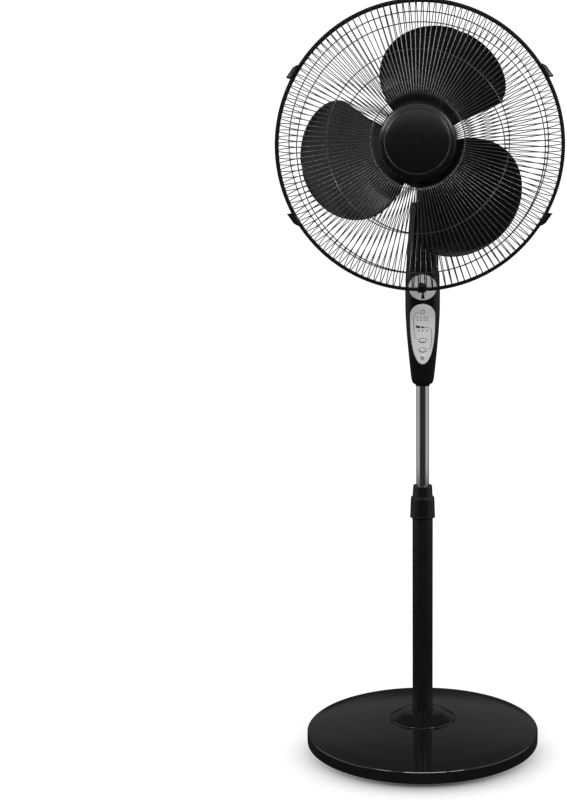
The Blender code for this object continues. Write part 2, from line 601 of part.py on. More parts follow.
# ---------------------------------------------------------------- rotor
rotor = empty("rotor_body", head, AXIS)
rotor_shaft = lathe("rotor_shaft", [
    (0, -0.1450), (0.0034, -0.1450), (0.0040, -0.1440), (0.0040, 0.0312), (0.0034, 0.0322), (0, 0.0322)],
    "steel", 20, axis="Y", parent=rotor)
pin_hole = lathe("pin_hole_shape", [(0, -0.02), (0.0018, -0.02), (0.0018, 0.02), (0, 0.02)], "steel", 14,
                 axis="X", at=(0, -0.0790, 0), parent=rotor, helper=True)
cut(rotor_shaft, pin_hole)
lathe("drive_pin", [(0, -0.0095), (0.0015, -0.0095), (0.0015, 0.0095), (0, 0.0095)], "steel", 14, axis="X",
      at=(0, -0.0790, 0), parent=rotor)
lathe("rotor_core", [(0.0043, -0.0252), (0.0250, -0.0252), (0.0250, 0.0002), (0.0043, 0.0002)], "steel", 24,
      axis="Y", parent=rotor)
fan_blade = lathe("fan_blade", [
    (0.0043, -0.1330), (0.0430, -0.1330), (BLADE_HUB_R, -0.1295), (BLADE_HUB_R, -0.0780), (0.0435, -0.0780),
    (0.0435, -0.1295), (0.0110, -0.1295), (0.0110, -0.0765), (0.0043, -0.0765)], "gloss_black", 28, axis="Y",
    parent=rotor)
lathe("blade_nut", [
    (0, -0.1530), (0.0120, -0.1510), (0.0190, -0.1440), (0.0200, -0.1334), (0.0043, -0.1334), (0.0043, -0.1470),
    (0, -0.1470)], "satin_black", 24, axis="Y", parent=rotor)


def tip_bend(share):
    return 0.55 * (1 - math.sqrt(max(0.0, 1 - share * share))) + 0.45 * share * share


def petal_edges(radius):
    """Angles, in degrees, of the petal's leading and trailing edges at this radius."""
    u = radius / BLADE_TIP_R
    inner = min(u, 0.76)
    lead = 33.0 - 6.4 * (inner - 0.24) / 0.52
    trail = 136.0 - 28.0 * ((inner - 0.24) / 0.52) ** 1.5
    if u > 0.76:
        bend = tip_bend((u - 0.76) / 0.24)
        lead += 42.0 * bend
        trail -= 38.0 * bend
    return lead, trail


def petal(name, turn):
    along, across, thick = 8, 6, 0.0022
    layers = []
    for side in (-0.5, 0.5):
        for i in range(along + 1):
            share = i / along
            radius = 0.0446 + (BLADE_TIP_R * 0.9985 - 0.0446) * math.sin(share * math.pi / 2)
            lead, trail = petal_edges(radius)
            depth = min(0.0225, 0.0006 * (trail - lead) / 2)
            for j in range(across + 1):
                t = j / across
                angle = math.radians(lead + (trail - lead) * t + turn)
                y = BLADE_Y - depth * (2 * t - 1) + 0.005 * (1 - (2 * t - 1) ** 2) * min(1.0, share * 2)
                layers.append((radius * math.cos(angle), y + side * thick, radius * math.sin(angle)))
    wide = across + 1
    second = wide * (along + 1)
    faces = []
    for base in (0, second):
        for i in range(along):
            for j in range(across):
                a = base + i * wide + j
                faces.append([a, a + 1, a + wide + 1, a + wide])
    border = [j for j in range(wide)] + [i * wide + across for i in range(1, along + 1)]
    border += [along * wide + j for j in range(across - 1, -1, -1)] + [i * wide for i in range(along - 1, 0, -1)]
    for a, b in zip(border, border[1:] + border[:1]):
        faces.append([a, b, b + second, a + second])
    return solid(name, layers, faces, "gloss_black", rotor, helper=True)


for number in range(3):
    cut(fan_blade, petal(f"petal_{number + 1}_shape", -120 * number), "UNION")
pin_slot = box("pin_slot_shape", (-0.0105, -0.0808, -0.0020), (0.0105, -0.0700, 0.0020), "gloss_black", rotor,
               helper=True)
cut(fan_blade, pin_slot)
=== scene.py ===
"""Studio scene of the pedestal fan: fine visible shells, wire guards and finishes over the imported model."""

import json
import math

import bmesh
import bpy
from mathutils import Matrix, Vector


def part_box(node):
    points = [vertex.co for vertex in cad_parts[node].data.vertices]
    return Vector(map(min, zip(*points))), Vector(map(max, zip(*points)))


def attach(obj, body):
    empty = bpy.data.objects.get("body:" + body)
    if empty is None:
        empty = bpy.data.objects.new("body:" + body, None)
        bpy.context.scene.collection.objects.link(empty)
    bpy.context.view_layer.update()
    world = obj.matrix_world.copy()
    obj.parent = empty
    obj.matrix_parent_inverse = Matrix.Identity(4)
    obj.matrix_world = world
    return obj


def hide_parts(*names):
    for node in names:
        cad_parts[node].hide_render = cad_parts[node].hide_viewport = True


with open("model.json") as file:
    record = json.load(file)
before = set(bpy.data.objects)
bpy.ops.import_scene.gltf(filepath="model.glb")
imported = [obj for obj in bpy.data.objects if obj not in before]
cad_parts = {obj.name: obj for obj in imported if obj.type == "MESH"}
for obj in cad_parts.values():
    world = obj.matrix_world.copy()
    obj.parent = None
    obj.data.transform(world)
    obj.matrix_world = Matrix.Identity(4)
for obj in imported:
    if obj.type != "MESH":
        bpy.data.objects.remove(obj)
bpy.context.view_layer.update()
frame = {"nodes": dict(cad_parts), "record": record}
NODES = frame["nodes"]

# Dimensions shared with the CAD model, in metres. MOTOR_Z is the motor's height over the tilt pivot and
# RIM_Y is the middle plane of the guard's rim, ahead of the motor's centre. At rest the head is tilted
# back by 5 degrees and turned by 2.5
BASE_R = 0.1975
PIVOT_Z = 0.8330
MOTOR_Z = 0.1626
RIM_Y = -0.1146
NECK = Matrix.Translation((0, 0, PIVOT_Z)) @ Matrix.Rotation(math.radians(-5.0), 4, "X")
HEAD = NECK @ Matrix.Rotation(math.radians(-2.5), 4, "Z")
MOTOR = HEAD @ Matrix.Translation((0, 0, MOTOR_Z))

# ------------------------------------------------------------------ finishes


def remap(tree, value, low, high, to_low=0.0, to_high=1.0, smooth=False):
    """A node that takes a value from low..high to to_low..to_high and stops at both ends."""
    node = tree.nodes.new("ShaderNodeMapRange")
    node.interpolation_type = "SMOOTHSTEP" if smooth else "LINEAR"
    node.inputs["From Min"].default_value = low
    node.inputs["From Max"].default_value = high
    node.inputs["To Min"].default_value = to_low
    node.inputs["To Max"].default_value = to_high
    tree.links.new(value, node.inputs["Value"])
    return node.outputs["Result"]


def finish(name, colour, rough, metallic=0.0, spec=0.5, coat=0.0, coat_rough=0.05, vary=0.15,
           vary_scale=40.0, rough_vary=0.25, rough_scale=60.0, grain=0.0, grain_scale=1500.0,
           grain_depth=0.0002, stretch=(1, 1, 1), wave=0.0, wave_scale=120.0):
    """A procedural finish: colour drift, uneven roughness, a fine surface grain and a slow moulding wave."""
    made = bpy.data.materials.new(name)
    made.use_nodes = True
    tree = made.node_tree
    nodes, link = tree.nodes, tree.links.new
    shader = nodes["Principled BSDF"]
    shader.inputs["Metallic"].default_value = metallic
    shader.inputs["Specular IOR Level"].default_value = spec
    shader.inputs["Coat Weight"].default_value = coat
    shader.inputs["Coat Roughness"].default_value = coat_rough
    place = nodes.new("ShaderNodeTexCoord")
    mapping = nodes.new("ShaderNodeMapping")
    mapping.inputs["Scale"].default_value = stretch
    link(place.outputs["Object"], mapping.inputs["Vector"])

    def noise(scale, detail):
        """Noise over the object's own coordinates."""
        node = nodes.new("ShaderNodeTexNoise")
        node.inputs["Scale"].default_value = scale
        node.inputs["Detail"].default_value = detail
        link(mapping.outputs["Vector"], node.inputs["Vector"])
        return node.outputs["Fac"]

    ramp = nodes.new("ShaderNodeValToRGB")
    ramp.color_ramp.elements[0].position = 0.3
    ramp.color_ramp.elements[1].position = 0.7
    ramp.color_ramp.elements[0].color = (*[c * (1 - vary) for c in colour], 1)
    ramp.color_ramp.elements[1].color = (*[min(1.0, c * (1 + vary)) for c in colour], 1)
    link(noise(vary_scale, 4), ramp.inputs["Fac"])
    link(ramp.outputs["Color"], shader.inputs["Base Color"])
    least, most = rough * (1 - rough_vary), min(1.0, rough * (1 + rough_vary))
    link(remap(tree, noise(rough_scale, 3), 0.3, 0.7, least, most), shader.inputs["Roughness"])
    last = None
    for strength, scale, depth in ((wave, wave_scale, 0.0004), (grain, grain_scale, grain_depth)):
        if strength > 0:
            bump = nodes.new("ShaderNodeBump")
            bump.inputs["Strength"].default_value = strength
            bump.inputs["Distance"].default_value = depth
            link(noise(scale, 2), bump.inputs["Height"])
            if last is not None:
                link(last, bump.inputs["Normal"])
            last = bump.outputs["Normal"]
    if last is not None:
        link(last, shader.inputs["Normal"])
    return made


GLOSS = finish("gloss_black_plastic", (0.004, 0.004, 0.0043), 0.13, spec=0.5, coat=0.3, coat_rough=0.06,
               wave=0.03, wave_scale=90, grain=0.02, grain_scale=700, grain_depth=0.0001)
BASE_GLOSS = finish("base_gloss_black", (0.0035, 0.0035, 0.0037), 0.07, spec=0.5, coat=0.4, coat_rough=0.03,
                    wave=0.012, wave_scale=60, grain=0.02, grain_scale=700, grain_depth=0.0001)
SATIN = finish("satin_black_plastic", (0.0038, 0.0038, 0.0040), 0.28, spec=0.42, grain=0.18, grain_scale=2400,
               grain_depth=0.00008, rough_vary=0.12)
BADGE = finish("badge_satin_black", (0.0026, 0.0026, 0.0028), 0.22, spec=0.55, vary=0.10, rough_vary=0.08,
               grain=0.06, grain_scale=2600, grain_depth=0.00005)
BLADE = finish("blade_black_plastic", (0.0028, 0.0028, 0.0030), 0.24, spec=0.5, wave=0.03, wave_scale=70,
               grain=0.10, grain_scale=1800, grain_depth=0.00006)
PAINT = finish("pole_black_paint", (0.0048, 0.0048, 0.0051), 0.36, spec=0.22, coat=0.1, coat_rough=0.20,
               wave=0.04, wave_scale=110, grain=0.03, grain_scale=900, grain_depth=0.0001)
WIRE = finish("wire_black_nickel", (0.17, 0.17, 0.175), 0.28, metallic=1.0, vary=0.10, vary_scale=300,
              grain=0.10, grain_scale=900, grain_depth=0.0001)
CHROME = finish("tube_chrome", (0.80, 0.80, 0.82), 0.07, metallic=1.0, vary=0.03, rough_vary=0.35,
                rough_scale=300, grain=0.03, grain_scale=500, grain_depth=0.00005, stretch=(1, 1, 0.02))
SILVER = finish("panel_silver_paint", (0.60, 0.60, 0.61), 0.36, metallic=0.15, vary=0.16, vary_scale=1100,
                rough_vary=0.15, grain=0.08, grain_scale=2600, grain_depth=0.00005)
BUTTON = finish("button_silver_paint", (0.59, 0.59, 0.60), 0.36, metallic=0.15, vary=0.06, vary_scale=3500,
                rough_vary=0.15, grain=0.06, grain_scale=2600, grain_depth=0.00005)
STEEL = finish("zinc_steel", (0.52, 0.52, 0.53), 0.32, metallic=1.0, vary=0.10, vary_scale=200,
               rough_vary=0.3, grain=0.15, grain_scale=900, grain_depth=0.0001)
SHEET = finish("lamination_steel", (0.30, 0.30, 0.31), 0.42, metallic=1.0, vary=0.15, vary_scale=90,
               grain=0.4, grain_scale=900, grain_depth=0.0002, stretch=(0.05, 1, 0.05))
ALLOY = finish("cast_alloy", (0.58, 0.59, 0.60), 0.46, metallic=1.0, vary=0.08, grain=0.3, grain_scale=700,
               grain_depth=0.0002)
IRON = finish("cast_iron_weight", (0.07, 0.07, 0.07), 0.62, metallic=0.5, vary=0.35, vary_scale=60, grain=0.6,
              grain_scale=260, grain_depth=0.0006)
COPPER = finish("winding_copper", (0.62, 0.26, 0.12), 0.34, metallic=1.0, vary=0.2, vary_scale=700, grain=0.7,
                grain_scale=500, grain_depth=0.0004, stretch=(1, 3, 1))
BRONZE = finish("bearing_bronze", (0.50, 0.34, 0.14), 0.38, metallic=1.0, vary=0.15, grain=0.2,
                grain_scale=900)
RUBBER = finish("moulded_rubber", (0.015, 0.015, 0.015), 0.72, spec=0.35, vary=0.2, grain=0.35,
                grain_scale=1600, grain_depth=0.0001)
BOARD = finish("board_green", (0.015, 0.13, 0.05), 0.40, vary=0.5, vary_scale=420, grain=0.3, grain_scale=800)
NYLON = finish("nylon_white", (0.74, 0.74, 0.69), 0.42, spec=0.45, vary=0.05, grain=0.15, grain_scale=1500,
               grain_depth=0.0001)
INK = finish("panel_dark_print", (0.012, 0.012, 0.014), 0.45, vary=0.3, vary_scale=900, grain=0.1,
             grain_scale=2400, grain_depth=0.00004)
SLOT_LOOK = {"gloss_black": GLOSS, "satin_black": SATIN, "pole_paint": PAINT, "wire_black": WIRE,
             "chrome": CHROME, "silver": SILVER, "steel": STEEL, "iron": IRON, "alloy": ALLOY,
             "copper": COPPER, "bronze": BRONZE, "rubber": RUBBER, "board_green": BOARD,
             "nylon_white": NYLON}
# CAD nodes that stay visible take the finish of their material slot
for part in frame["record"]["subparts"]:
    look = SLOT_LOOK[part["material_slot"]]
    if part["node"] in ("stator_core", "rotor_core"):
        look = SHEET
    mesh = NODES[part["node"]].data
    mesh.materials.clear()
    mesh.materials.append(look)

# ------------------------------------------------------------------ shapes


class Shape:
    """Vertices and faces gathered for one piece."""

    def __init__(self):
        self.verts = []
        self.faces = []

    def add(self, verts, faces):
        """Take in more vertices, and faces that count from the first of them."""
        first = len(self.verts)
        self.verts.extend(Vector(v) for v in verts)
        self.faces.extend([[first + i for i in face] for face in faces])
        return self

    def moved(self, matrix):
        """The same shape, carried by a matrix."""
        self.verts = [matrix @ v for v in self.verts]
        return self


def piece(name, shape, body, look, stands_for=(), sharp=38.0):
    """A visible piece that rides a body and hides the CAD nodes it stands for."""
    mesh = bpy.data.meshes.new(name)
    mesh.from_pydata([tuple(v) for v in shape.verts], [], shape.faces)
    work = bmesh.new()
    work.from_mesh(mesh)
    bmesh.ops.recalc_face_normals(work, faces=work.faces)
    work.to_mesh(mesh)
    work.free()
    mesh.shade_smooth()
    mesh.set_sharp_from_angle(angle=math.radians(sharp))
    mesh.materials.append(look)
    made = bpy.data.objects.new(name, mesh)
    bpy.context.scene.collection.objects.link(made)
    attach(made, body)
    if stands_for:
        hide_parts(*stands_for)
    return made


def fillet(points, radius, steps=4):
    """A closed outline with its corners rounded. A point's own third number overrides the radius."""
    out = []
    for i, p in enumerate(points):
        own = p[2] if len(p) > 2 else radius
        here = Vector(p[:2])
        back = Vector(points[i - 1][:2]) - here
        ahead = Vector(points[(i + 1) % len(points)][:2]) - here
        reach = min(own, back.length * 0.48, ahead.length * 0.48)
        if here.x < 1e-6 or reach < 1e-6:
            out.append(tuple(here))
            continue
        a, b = here + back.normalized() * reach, here + ahead.normalized() * reach
        for k in range(steps + 1):
            t = k / steps
            out.append(tuple(a * (1 - t) ** 2 + here * (2 * t * (1 - t)) + b * t * t))
    return out


def turns(count):
    """Evenly spaced angles round one full turn."""
    return [2 * math.pi * k / count for k in range(count)]


def turned(outline, count=96, axis="Z", bend=None):
    """A closed (radius, along) outline turned about an axis. bend may change the radius by place."""
    shape = Shape()
    verts, rings = [], []
    for radius, along in outline:
        if radius < 1e-7:
            rings.append([len(verts)] * count)
            verts.append((0.0, 0.0, along))
            continue
        rings.append(list(range(len(verts), len(verts) + count)))
        for angle in turns(count):
            r = radius if bend is None else bend(radius, along, angle)
            verts.append((r * math.cos(angle), r * math.sin(angle), along))
    faces = []
    for a, b in zip(rings, rings[1:] + rings[:1]):
        for k in range(count):
            n = (k + 1) % count
            loop = []
            for index in (a[k], a[n], b[n], b[k]):
                if index not in loop:
                    loop.append(index)
            if len(loop) > 2:
                faces.append(loop)
    order = {"Z": (0, 1, 2), "Y": (0, 2, 1), "X": (2, 0, 1)}[axis]
    return shape.add([[v[i] for i in order] for v in verts], faces)


def spline(points, steps):
    """A smooth curve through the points, given as tuples of any length."""
    pts = [Vector(p) for p in points]
    pts = [2 * pts[0] - pts[1]] + pts + [2 * pts[-1] - pts[-2]]
    out = []
    for i in range(1, len(pts) - 2):
        a, b, c, d = pts[i - 1:i + 3]
        for k in range(steps):
            t = k / steps
            out.append(0.5 * (2 * b + (c - a) * t + (2 * a - 5 * b + 4 * c - d) * t * t
                              + (3 * b - a - 3 * c + d) * t ** 3))
    out.append(pts[-2])
    return out


def loft(rings):
    """A skin through rings of equally many points, closed at both ends."""
    shape = Shape()
    count = len(rings[0])
    verts = [p for ring in rings for p in ring]
    faces = [list(range(count)), list(range(len(verts) - count, len(verts)))]
    for r in range(len(rings) - 1):
        for k in range(count):
            n = (k + 1) % count
            faces.append([r * count + k, r * count + n, (r + 1) * count + n, (r + 1) * count + k])
    return shape.add(verts, faces)


def squarish(half_w, half_d, angle, power):
    """A point of an oval between an ellipse (power 2) and a rectangle (a high power)."""
    c, s = math.cos(angle), math.sin(angle)
    return (half_w * math.copysign(abs(c) ** (2 / power), c),
            half_d * math.copysign(abs(s) ** (2 / power), s))


def tube(shape, path, radius, sides=8, closed=False, up=None):
    """A round bar along a path of points, added to the shape."""
    path = [Vector(p) for p in path]
    count = len(path)
    verts = []
    for i, p in enumerate(path):
        a = path[i - 1] if (closed or i > 0) else p
        b = path[(i + 1) % count] if (closed or i < count - 1) else p
        along = (b - a).normalized()
        guide = Vector(up) if up is not None else Vector((0, 1, 0))
        if abs(along.dot(guide)) > 0.98:
            guide = Vector((1, 0, 0)) if abs(along.x) < 0.9 else Vector((0, 0, 1))
        side = along.cross(guide).normalized()
        over = side.cross(along)
        for angle in turns(sides):
            verts.append(p + radius * (math.cos(angle) * side + math.sin(angle) * over))
    faces = []
    last = count if closed else count - 1
    for i in range(last):
        for k in range(sides):
            n = (k + 1) % sides
            j = (i + 1) % count
            faces.append([i * sides + k, i * sides + n, j * sides + n, j * sides + k])
    if not closed:
        faces.append(list(range(sides)))
        faces.append(list(range((count - 1) * sides, count * sides)))
    shape.add(verts, faces)


# ------------------------------------------------------------------ stand
POLE_R, POLE_LOW, POLE_TOP = 0.0172, 0.0304, 0.4230
TUBE_R, TUBE_LOW, TUBE_TOP = 0.0107, 0.2620, 0.6400
dome = [(BASE_R, 0.0016, 0.0006), (BASE_R, 0.0205, 0.0016), (BASE_R - 0.0026, 0.0226, 0.0012)]
crown = [(BASE_R - 0.0060, 0.0231), (0.175, 0.0266), (0.150, 0.0299), (0.120, 0.0333),
         (0.085, 0.0362), (0.0572, 0.0378)]
dome += [tuple(p) for p in spline(crown, 4)]
dome += [(0.0205, 0.0378), (0.0205, 0.0352), (0.085, 0.0336), (0.120, 0.0307), (0.160, 0.0259),
         (BASE_R - 0.0050, 0.0198), (BASE_R - 0.0026, 0.0170), (BASE_R - 0.0026, 0.0016)]
piece("base_dome", turned(fillet(dome, 0.0010), 192), "stand", BASE_GLOSS, ["base_cover"])
boss = [(0.0560, 0.0380, 0.0003), (0.0560, 0.0400, 0.0008), (0.0548, 0.0410, 0.0012),
        (0.0356, 0.0518, 0.0030), (0.0300, 0.0529, 0.0020), (0.0204, 0.0538, 0.0012),
        (0.0190, 0.0552, 0.0006), (0.0174, 0.0552, 0.0003), (0.0174, 0.0440),
        (0.0360, 0.0428), (0.0530, 0.0398), (0.0534, 0.0380)]
piece("pole_boss", turned(fillet(boss, 0.0008), 128), "stand", BASE_GLOSS, ["boss_trim"])
pole = [(POLE_R, POLE_LOW), (POLE_R, POLE_TOP), (0.0150, POLE_TOP), (0.0150, POLE_LOW)]
piece("lower_pole", turned(fillet(pole, 0.0004), 96), "stand", PAINT, ["outer_pole"])
collet = [(0.0174, 0.3960), (0.0187, 0.3960), (0.0187, 0.4262, 0.0006), (0.0169, 0.4270, 0.0006),
          (0.0160, 0.4445, 0.0010), (0.0150, 0.4460, 0.0010), (0.0110, 0.4460, 0.0006), (0.0110, 0.4233),
          (0.0174, 0.4233)]
piece("tube_collet", turned(fillet(collet, 0.0004), 96), "stand", SATIN, ["collet"])


def fluted(radius, along, angle):
    """Fine grip flutes round the nut's waist."""
    if radius < 0.0195 or not 0.3948 < along < 0.4215:
        return radius
    return radius - 0.00022 * max(0.0, math.cos(24 * angle)) ** 0.6


nut = [(0.0190, 0.3910), (0.0211, 0.3910, 0.0010), (0.0211, 0.3942, 0.0003), (0.0209, 0.3947, 0.0002),
       (0.0200, 0.4205, 0.0003), (0.0197, 0.4240, 0.0012), (0.0192, 0.4258, 0.0008), (0.0190, 0.4258)]
piece("height_nut", turned(fillet(nut, 0.0004), 192, bend=fluted), "lock_nut", SATIN,
      ["lock_nut"])
tube_line = [(TUBE_R, TUBE_LOW), (TUBE_R, TUBE_TOP), (0.0095, TUBE_TOP), (0.0095, TUBE_LOW)]
piece("chrome_tube", turned(fillet(tube_line, 0.0003), 96), "column", CHROME, ["inner_tube"])
lip = [(0.0109, 0.6140, 0.0003), (0.0118, 0.6140, 0.0005), (0.0124, 0.6190, 0.0003), (0.0109, 0.6190)]
piece("tube_lip", turned(fillet(lip, 0.0003), 64), "column", SATIN)

# ------------------------------------------------------------------ control housing
# (height, half width, half depth) of the housing's squarish section, and how square it is
HOUSING = [(0.6180, 0.0150, 0.0145), (0.6205, 0.0172, 0.0158), (0.6266, 0.0190, 0.0170),
           (0.6420, 0.0207, 0.0186), (0.6600, 0.0226, 0.0205), (0.6800, 0.0245, 0.0223),
           (0.7000, 0.0263, 0.0240), (0.7200, 0.0276, 0.0252), (0.7400, 0.02855, 0.0262),
           (0.7709, 0.02875, 0.0270), (0.8000, 0.0277, 0.02655), (0.8024, 0.0273, 0.0262),
           (0.8035, 0.0262, 0.0252)]
POWER = 3.0
HALF_STEPS = 40
SPLIT_GAP = 0.00012


def housing_half(z):
    """The housing's half width and half depth at a height."""
    if z <= HOUSING[0][0]:
        return HOUSING[0][1:]
    for (z0, w0, d0), (z1, w1, d1) in zip(HOUSING, HOUSING[1:]):
        if z <= z1:
            t = (z - z0) / (z1 - z0)
            return w0 + (w1 - w0) * t, d0 + (d1 - d0) * t
    return HOUSING[-1][1:]


def housing_face(x, z):
    """How far the housing's front surface stands in front of the pole's axis at x, z."""
    half_w, half_d = housing_half(z)
    inside = max(0.0, 1 - (abs(x) / half_w) ** POWER)
    return half_d * inside ** (1 / POWER)


def half_ring(z, half_w, half_d, side, narrow=0.0):
    """Half an oval on one side of the split line, with its ends drawn in where the halves meet."""
    ring = []
    for k in range(HALF_STEPS + 1):
        x, y = squarish(half_w, half_d, math.pi * k / HALF_STEPS, POWER)
        open_end = min(1.0, min(k, HALF_STEPS - k) / 1.5)
        ring.append((x * (1 - narrow * (1 - open_end)), side * max(y, SPLIT_GAP), z))
    return ring


def half_shell(side):
    """Half the housing as a closed skin: outer wall, rim, inner wall and the two split-line lands."""
    bottom_hole, top_hole = (0.0130, 0.0125), (0.0160, 0.0115)
    outer = [(HOUSING[0][0], *bottom_hole)] + HOUSING[:2] + [tuple(p) for p in spline(HOUSING[2:10], 5)]
    outer += HOUSING[10:] + [(HOUSING[-1][0], *top_hole)]
    inner = [(0.8010, *top_hole), (0.8000, 0.0240, 0.0230), (0.6300, 0.0150, 0.0130),
             (HOUSING[0][0], *bottom_hole)]
    rings = [half_ring(*row, side, narrow=0.010) for row in outer]
    rings += [half_ring(*row, side) for row in inner]
    count, wide = len(rings), HALF_STEPS + 1
    faces = []
    for r in range(count):
        n = (r + 1) % count
        for k in range(HALF_STEPS):
            faces.append([r * wide + k, r * wide + k + 1, n * wide + k + 1, n * wide + k])
    faces.append([r * wide for r in range(count)])
    faces.append([r * wide + HALF_STEPS for r in range(count)])
    return Shape().add([p for ring in rings for p in ring], faces)


piece("housing_front_shell", half_shell(-1), "column", SATIN, ["housing_front"], sharp=50)
piece("housing_rear_shell", half_shell(1), "column", SATIN, ["housing_rear"], sharp=50)


# ------------------------------------------------------------------ silver panel and disc
PANEL_LOW, PANEL_WIDEST, PANEL_HIGH = 0.6520, 0.7330, 0.7520
PANEL_HALF_W = 0.0206
DISC_Z = 0.7790
PLATE_GAP, PLATE_FACE = 0.0002, 0.0015


def panel_half(z):
    """Half the egg-shaped panel's width at a height."""
    if z > PANEL_WIDEST:
        share = (z - PANEL_WIDEST) / (PANEL_HIGH - PANEL_WIDEST)
        return PANEL_HALF_W * math.sqrt(max(0.0, 1 - share ** 2))
    share = (PANEL_WIDEST - z) / (PANEL_WIDEST - PANEL_LOW)
    return PANEL_HALF_W * max(0.0, 1 - share ** 2.6) ** 0.50


def skin_plate(outline, centre, depth_at, body, name, look, stands_for, rings=10):
    """A plate inside a closed (x, z) outline that follows depth_at(x, z), with a rounded lip."""
    shape = Shape()
    count = len(outline)
    layers = [(1.0, 0.0), (1.0, 0.45), (0.995, 0.75), (0.985, 0.92), (0.965, 1.0)]
    layers += [(0.965 * (1 - k / rings), 1.0) for k in range(1, rings)]
    verts = []
    for share, out in layers:
        for x, z in outline:
            px, pz = centre[0] + (x - centre[0]) * share, centre[1] + (z - centre[1]) * share
            verts.append((px, -depth_at(px, pz) - PLATE_GAP - (PLATE_FACE - PLATE_GAP) * out, pz))
    verts.append((centre[0], -depth_at(*centre) - PLATE_FACE, centre[1]))
    tip = len(verts) - 1
    faces = [list(range(count))]
    for r in range(len(layers) - 1):
        for k in range(count):
            n = (k + 1) % count
            faces.append([r * count + k, r * count + n, (r + 1) * count + n, (r + 1) * count + k])
    last = (len(layers) - 1) * count
    for k in range(count):
        faces.append([last + k, last + (k + 1) % count, tip])
    shape.add(verts, faces)
    return piece(name, shape, body, look, stands_for, sharp=50)


heights = [PANEL_LOW + (PANEL_HIGH - PANEL_LOW) * 0.5 * (1 - math.cos(math.pi * k / 48))
           for k in range(1, 48)]
right = [(panel_half(z), z) for z in heights]
panel_line = [(0.0, PANEL_LOW)] + right + [(0.0, PANEL_HIGH)] + [(-x, z) for x, z in reversed(right)]
skin_plate(panel_line, (0.0, 0.7130), housing_face, "column", "silver_panel", SILVER,
           ["control_panel"])
disc_line = [(0.0230 * math.sin(a), DISC_Z - 0.0210 * math.cos(a)) for a in turns(72)]


def disc_depth(x, z):
    """The silver disc's back, just proud of the housing."""
    return housing_face(x, z) + 0.0004


skin_plate(disc_line, (0.0, DISC_Z), disc_depth, "column", "silver_disc", SILVER, ["front_disc"])


# ------------------------------------------------------------------ printed marks
# Height on the panel, half width, half height and how far the button's cap stands out
BUTTONS = {"speed": (0.6921, 0.0054, 0.0030, 0.0029),
           "mode": (0.6760, 0.0050, 0.0029, 0.0029),
           "power": (0.6644, 0.0038, 0.0038, 0.0034)}


def panel_depth(x, z):
    """The silver panel's outer surface."""
    return housing_face(x, z) + PLATE_FACE


def prints(name, outlines, look, lift=0.00012, depth_at=panel_depth, body="column"):
    """Flat marks on a curved face: closed (x, z) outlines, each with a matching hole or None."""
    shape = Shape()
    for outline, hole in outlines:
        count = len(outline)
        filled = hole is None
        if filled:
            cx = sum(x for x, _ in outline) / count
            cz = sum(z for _, z in outline) / count
            hole = [(cx + (x - cx) * 0.05, cz + (z - cz) * 0.05) for x, z in outline]
        top_out = [(x, -depth_at(x, z) - lift, z) for x, z in outline]
        top_in = [(x, -depth_at(x, z) - lift, z) for x, z in hole]
        low_out = [(x, -depth_at(x, z) + 0.0002, z) for x, z in outline]
        low_in = [(x, -depth_at(x, z) + 0.0002, z) for x, z in hole]
        verts = top_out + top_in + low_out + low_in
        faces = []
        for k in range(count):
            n = (k + 1) % count
            faces.append([k, n, count + n, count + k])
            faces.append([k, n, 2 * count + n, 2 * count + k])
            faces.append([2 * count + k, 2 * count + n, 3 * count + n, 3 * count + k])
            if not filled:
                faces.append([count + k, count + n, 3 * count + n, 3 * count + k])
        if filled:
            faces.append([count + k for k in range(count)])
            faces.append([3 * count + k for k in range(count)])
        shape.add(verts, faces)
    return piece(name, shape, body, look, sharp=60)


def arc(x, z, rx, rz, start, end, steps):
    """Points along an arc, at angles in degrees clockwise from its top, both ends included."""
    angles = [math.radians(start + (end - start) * k / steps) for k in range(steps + 1)]
    return [(x + rx * math.sin(a), z + rz * math.cos(a)) for a in angles]


def circle(x, z, r, rz=None, count=28):
    """A closed circle, or an oval when rz is given."""
    return arc(x, z, r, r if rz is None else rz, 0.0, 360.0, count)[:-1]


def bar(x0, z0, x1, z1, width):
    """A straight stroke between two points."""
    a, b = Vector((x0, z0)), Vector((x1, z1))
    side = (b - a).normalized()
    side = Vector((-side.y, side.x)) * width / 2
    return [tuple(a + side), tuple(b + side), tuple(b - side), tuple(a - side)]


# From the top: a dial with one hand, two rows of dots, three falling bars, a row of dots, a ring round
# each of the two larger buttons and two thin guide lines
marks = [(circle(-0.0002, 0.7392, 0.0038), circle(-0.0002, 0.7392, 0.0029)),
         (bar(-0.0002, 0.7392, 0.0015, 0.7412, 0.0006), None)]
for row_z in (0.7298, 0.7254):
    marks += [(circle(x, row_z, 0.0010, count=16), None) for x in (-0.0080, -0.0026, 0.0028, 0.0076)]
for x0, x1, h0, h1 in ((-0.0108, -0.0040, 0.0042, 0.0034), (-0.0026, 0.0030, 0.0030, 0.0022),
                       (0.0044, 0.0108, 0.0014, 0.0008)):
    marks += [([(x0, 0.7125), (x0, 0.7125 + h0), (x1, 0.7125 + h1), (x1, 0.7125)], None)]
marks += [(circle(x, 0.7080, 0.0011, count=16), None) for x in (-0.0064, 0.0000, 0.0074)]
for name in ("speed", "mode"):
    z, rx, rz, _ = BUTTONS[name]
    outer = circle(0.0, z, rx + 0.0011, rz + 0.0011, count=40)
    marks += [(outer, circle(0.0, z, rx + 0.0002, rz + 0.0001, count=40))]
LEFT_ROUTE = [(-0.0062, 0.7385), (-0.0110, 0.7362), (-0.0143, 0.7310), (-0.0144, 0.7180),
              (-0.0138, 0.7050), (-0.0122, 0.6970), (-0.0088, 0.6935)]
RIGHT_ROUTE = [(0.0118, 0.7130), (0.0143, 0.7095), (0.0146, 0.7000), (0.0143, 0.6890),
               (0.0126, 0.6805), (0.0088, 0.6770)]
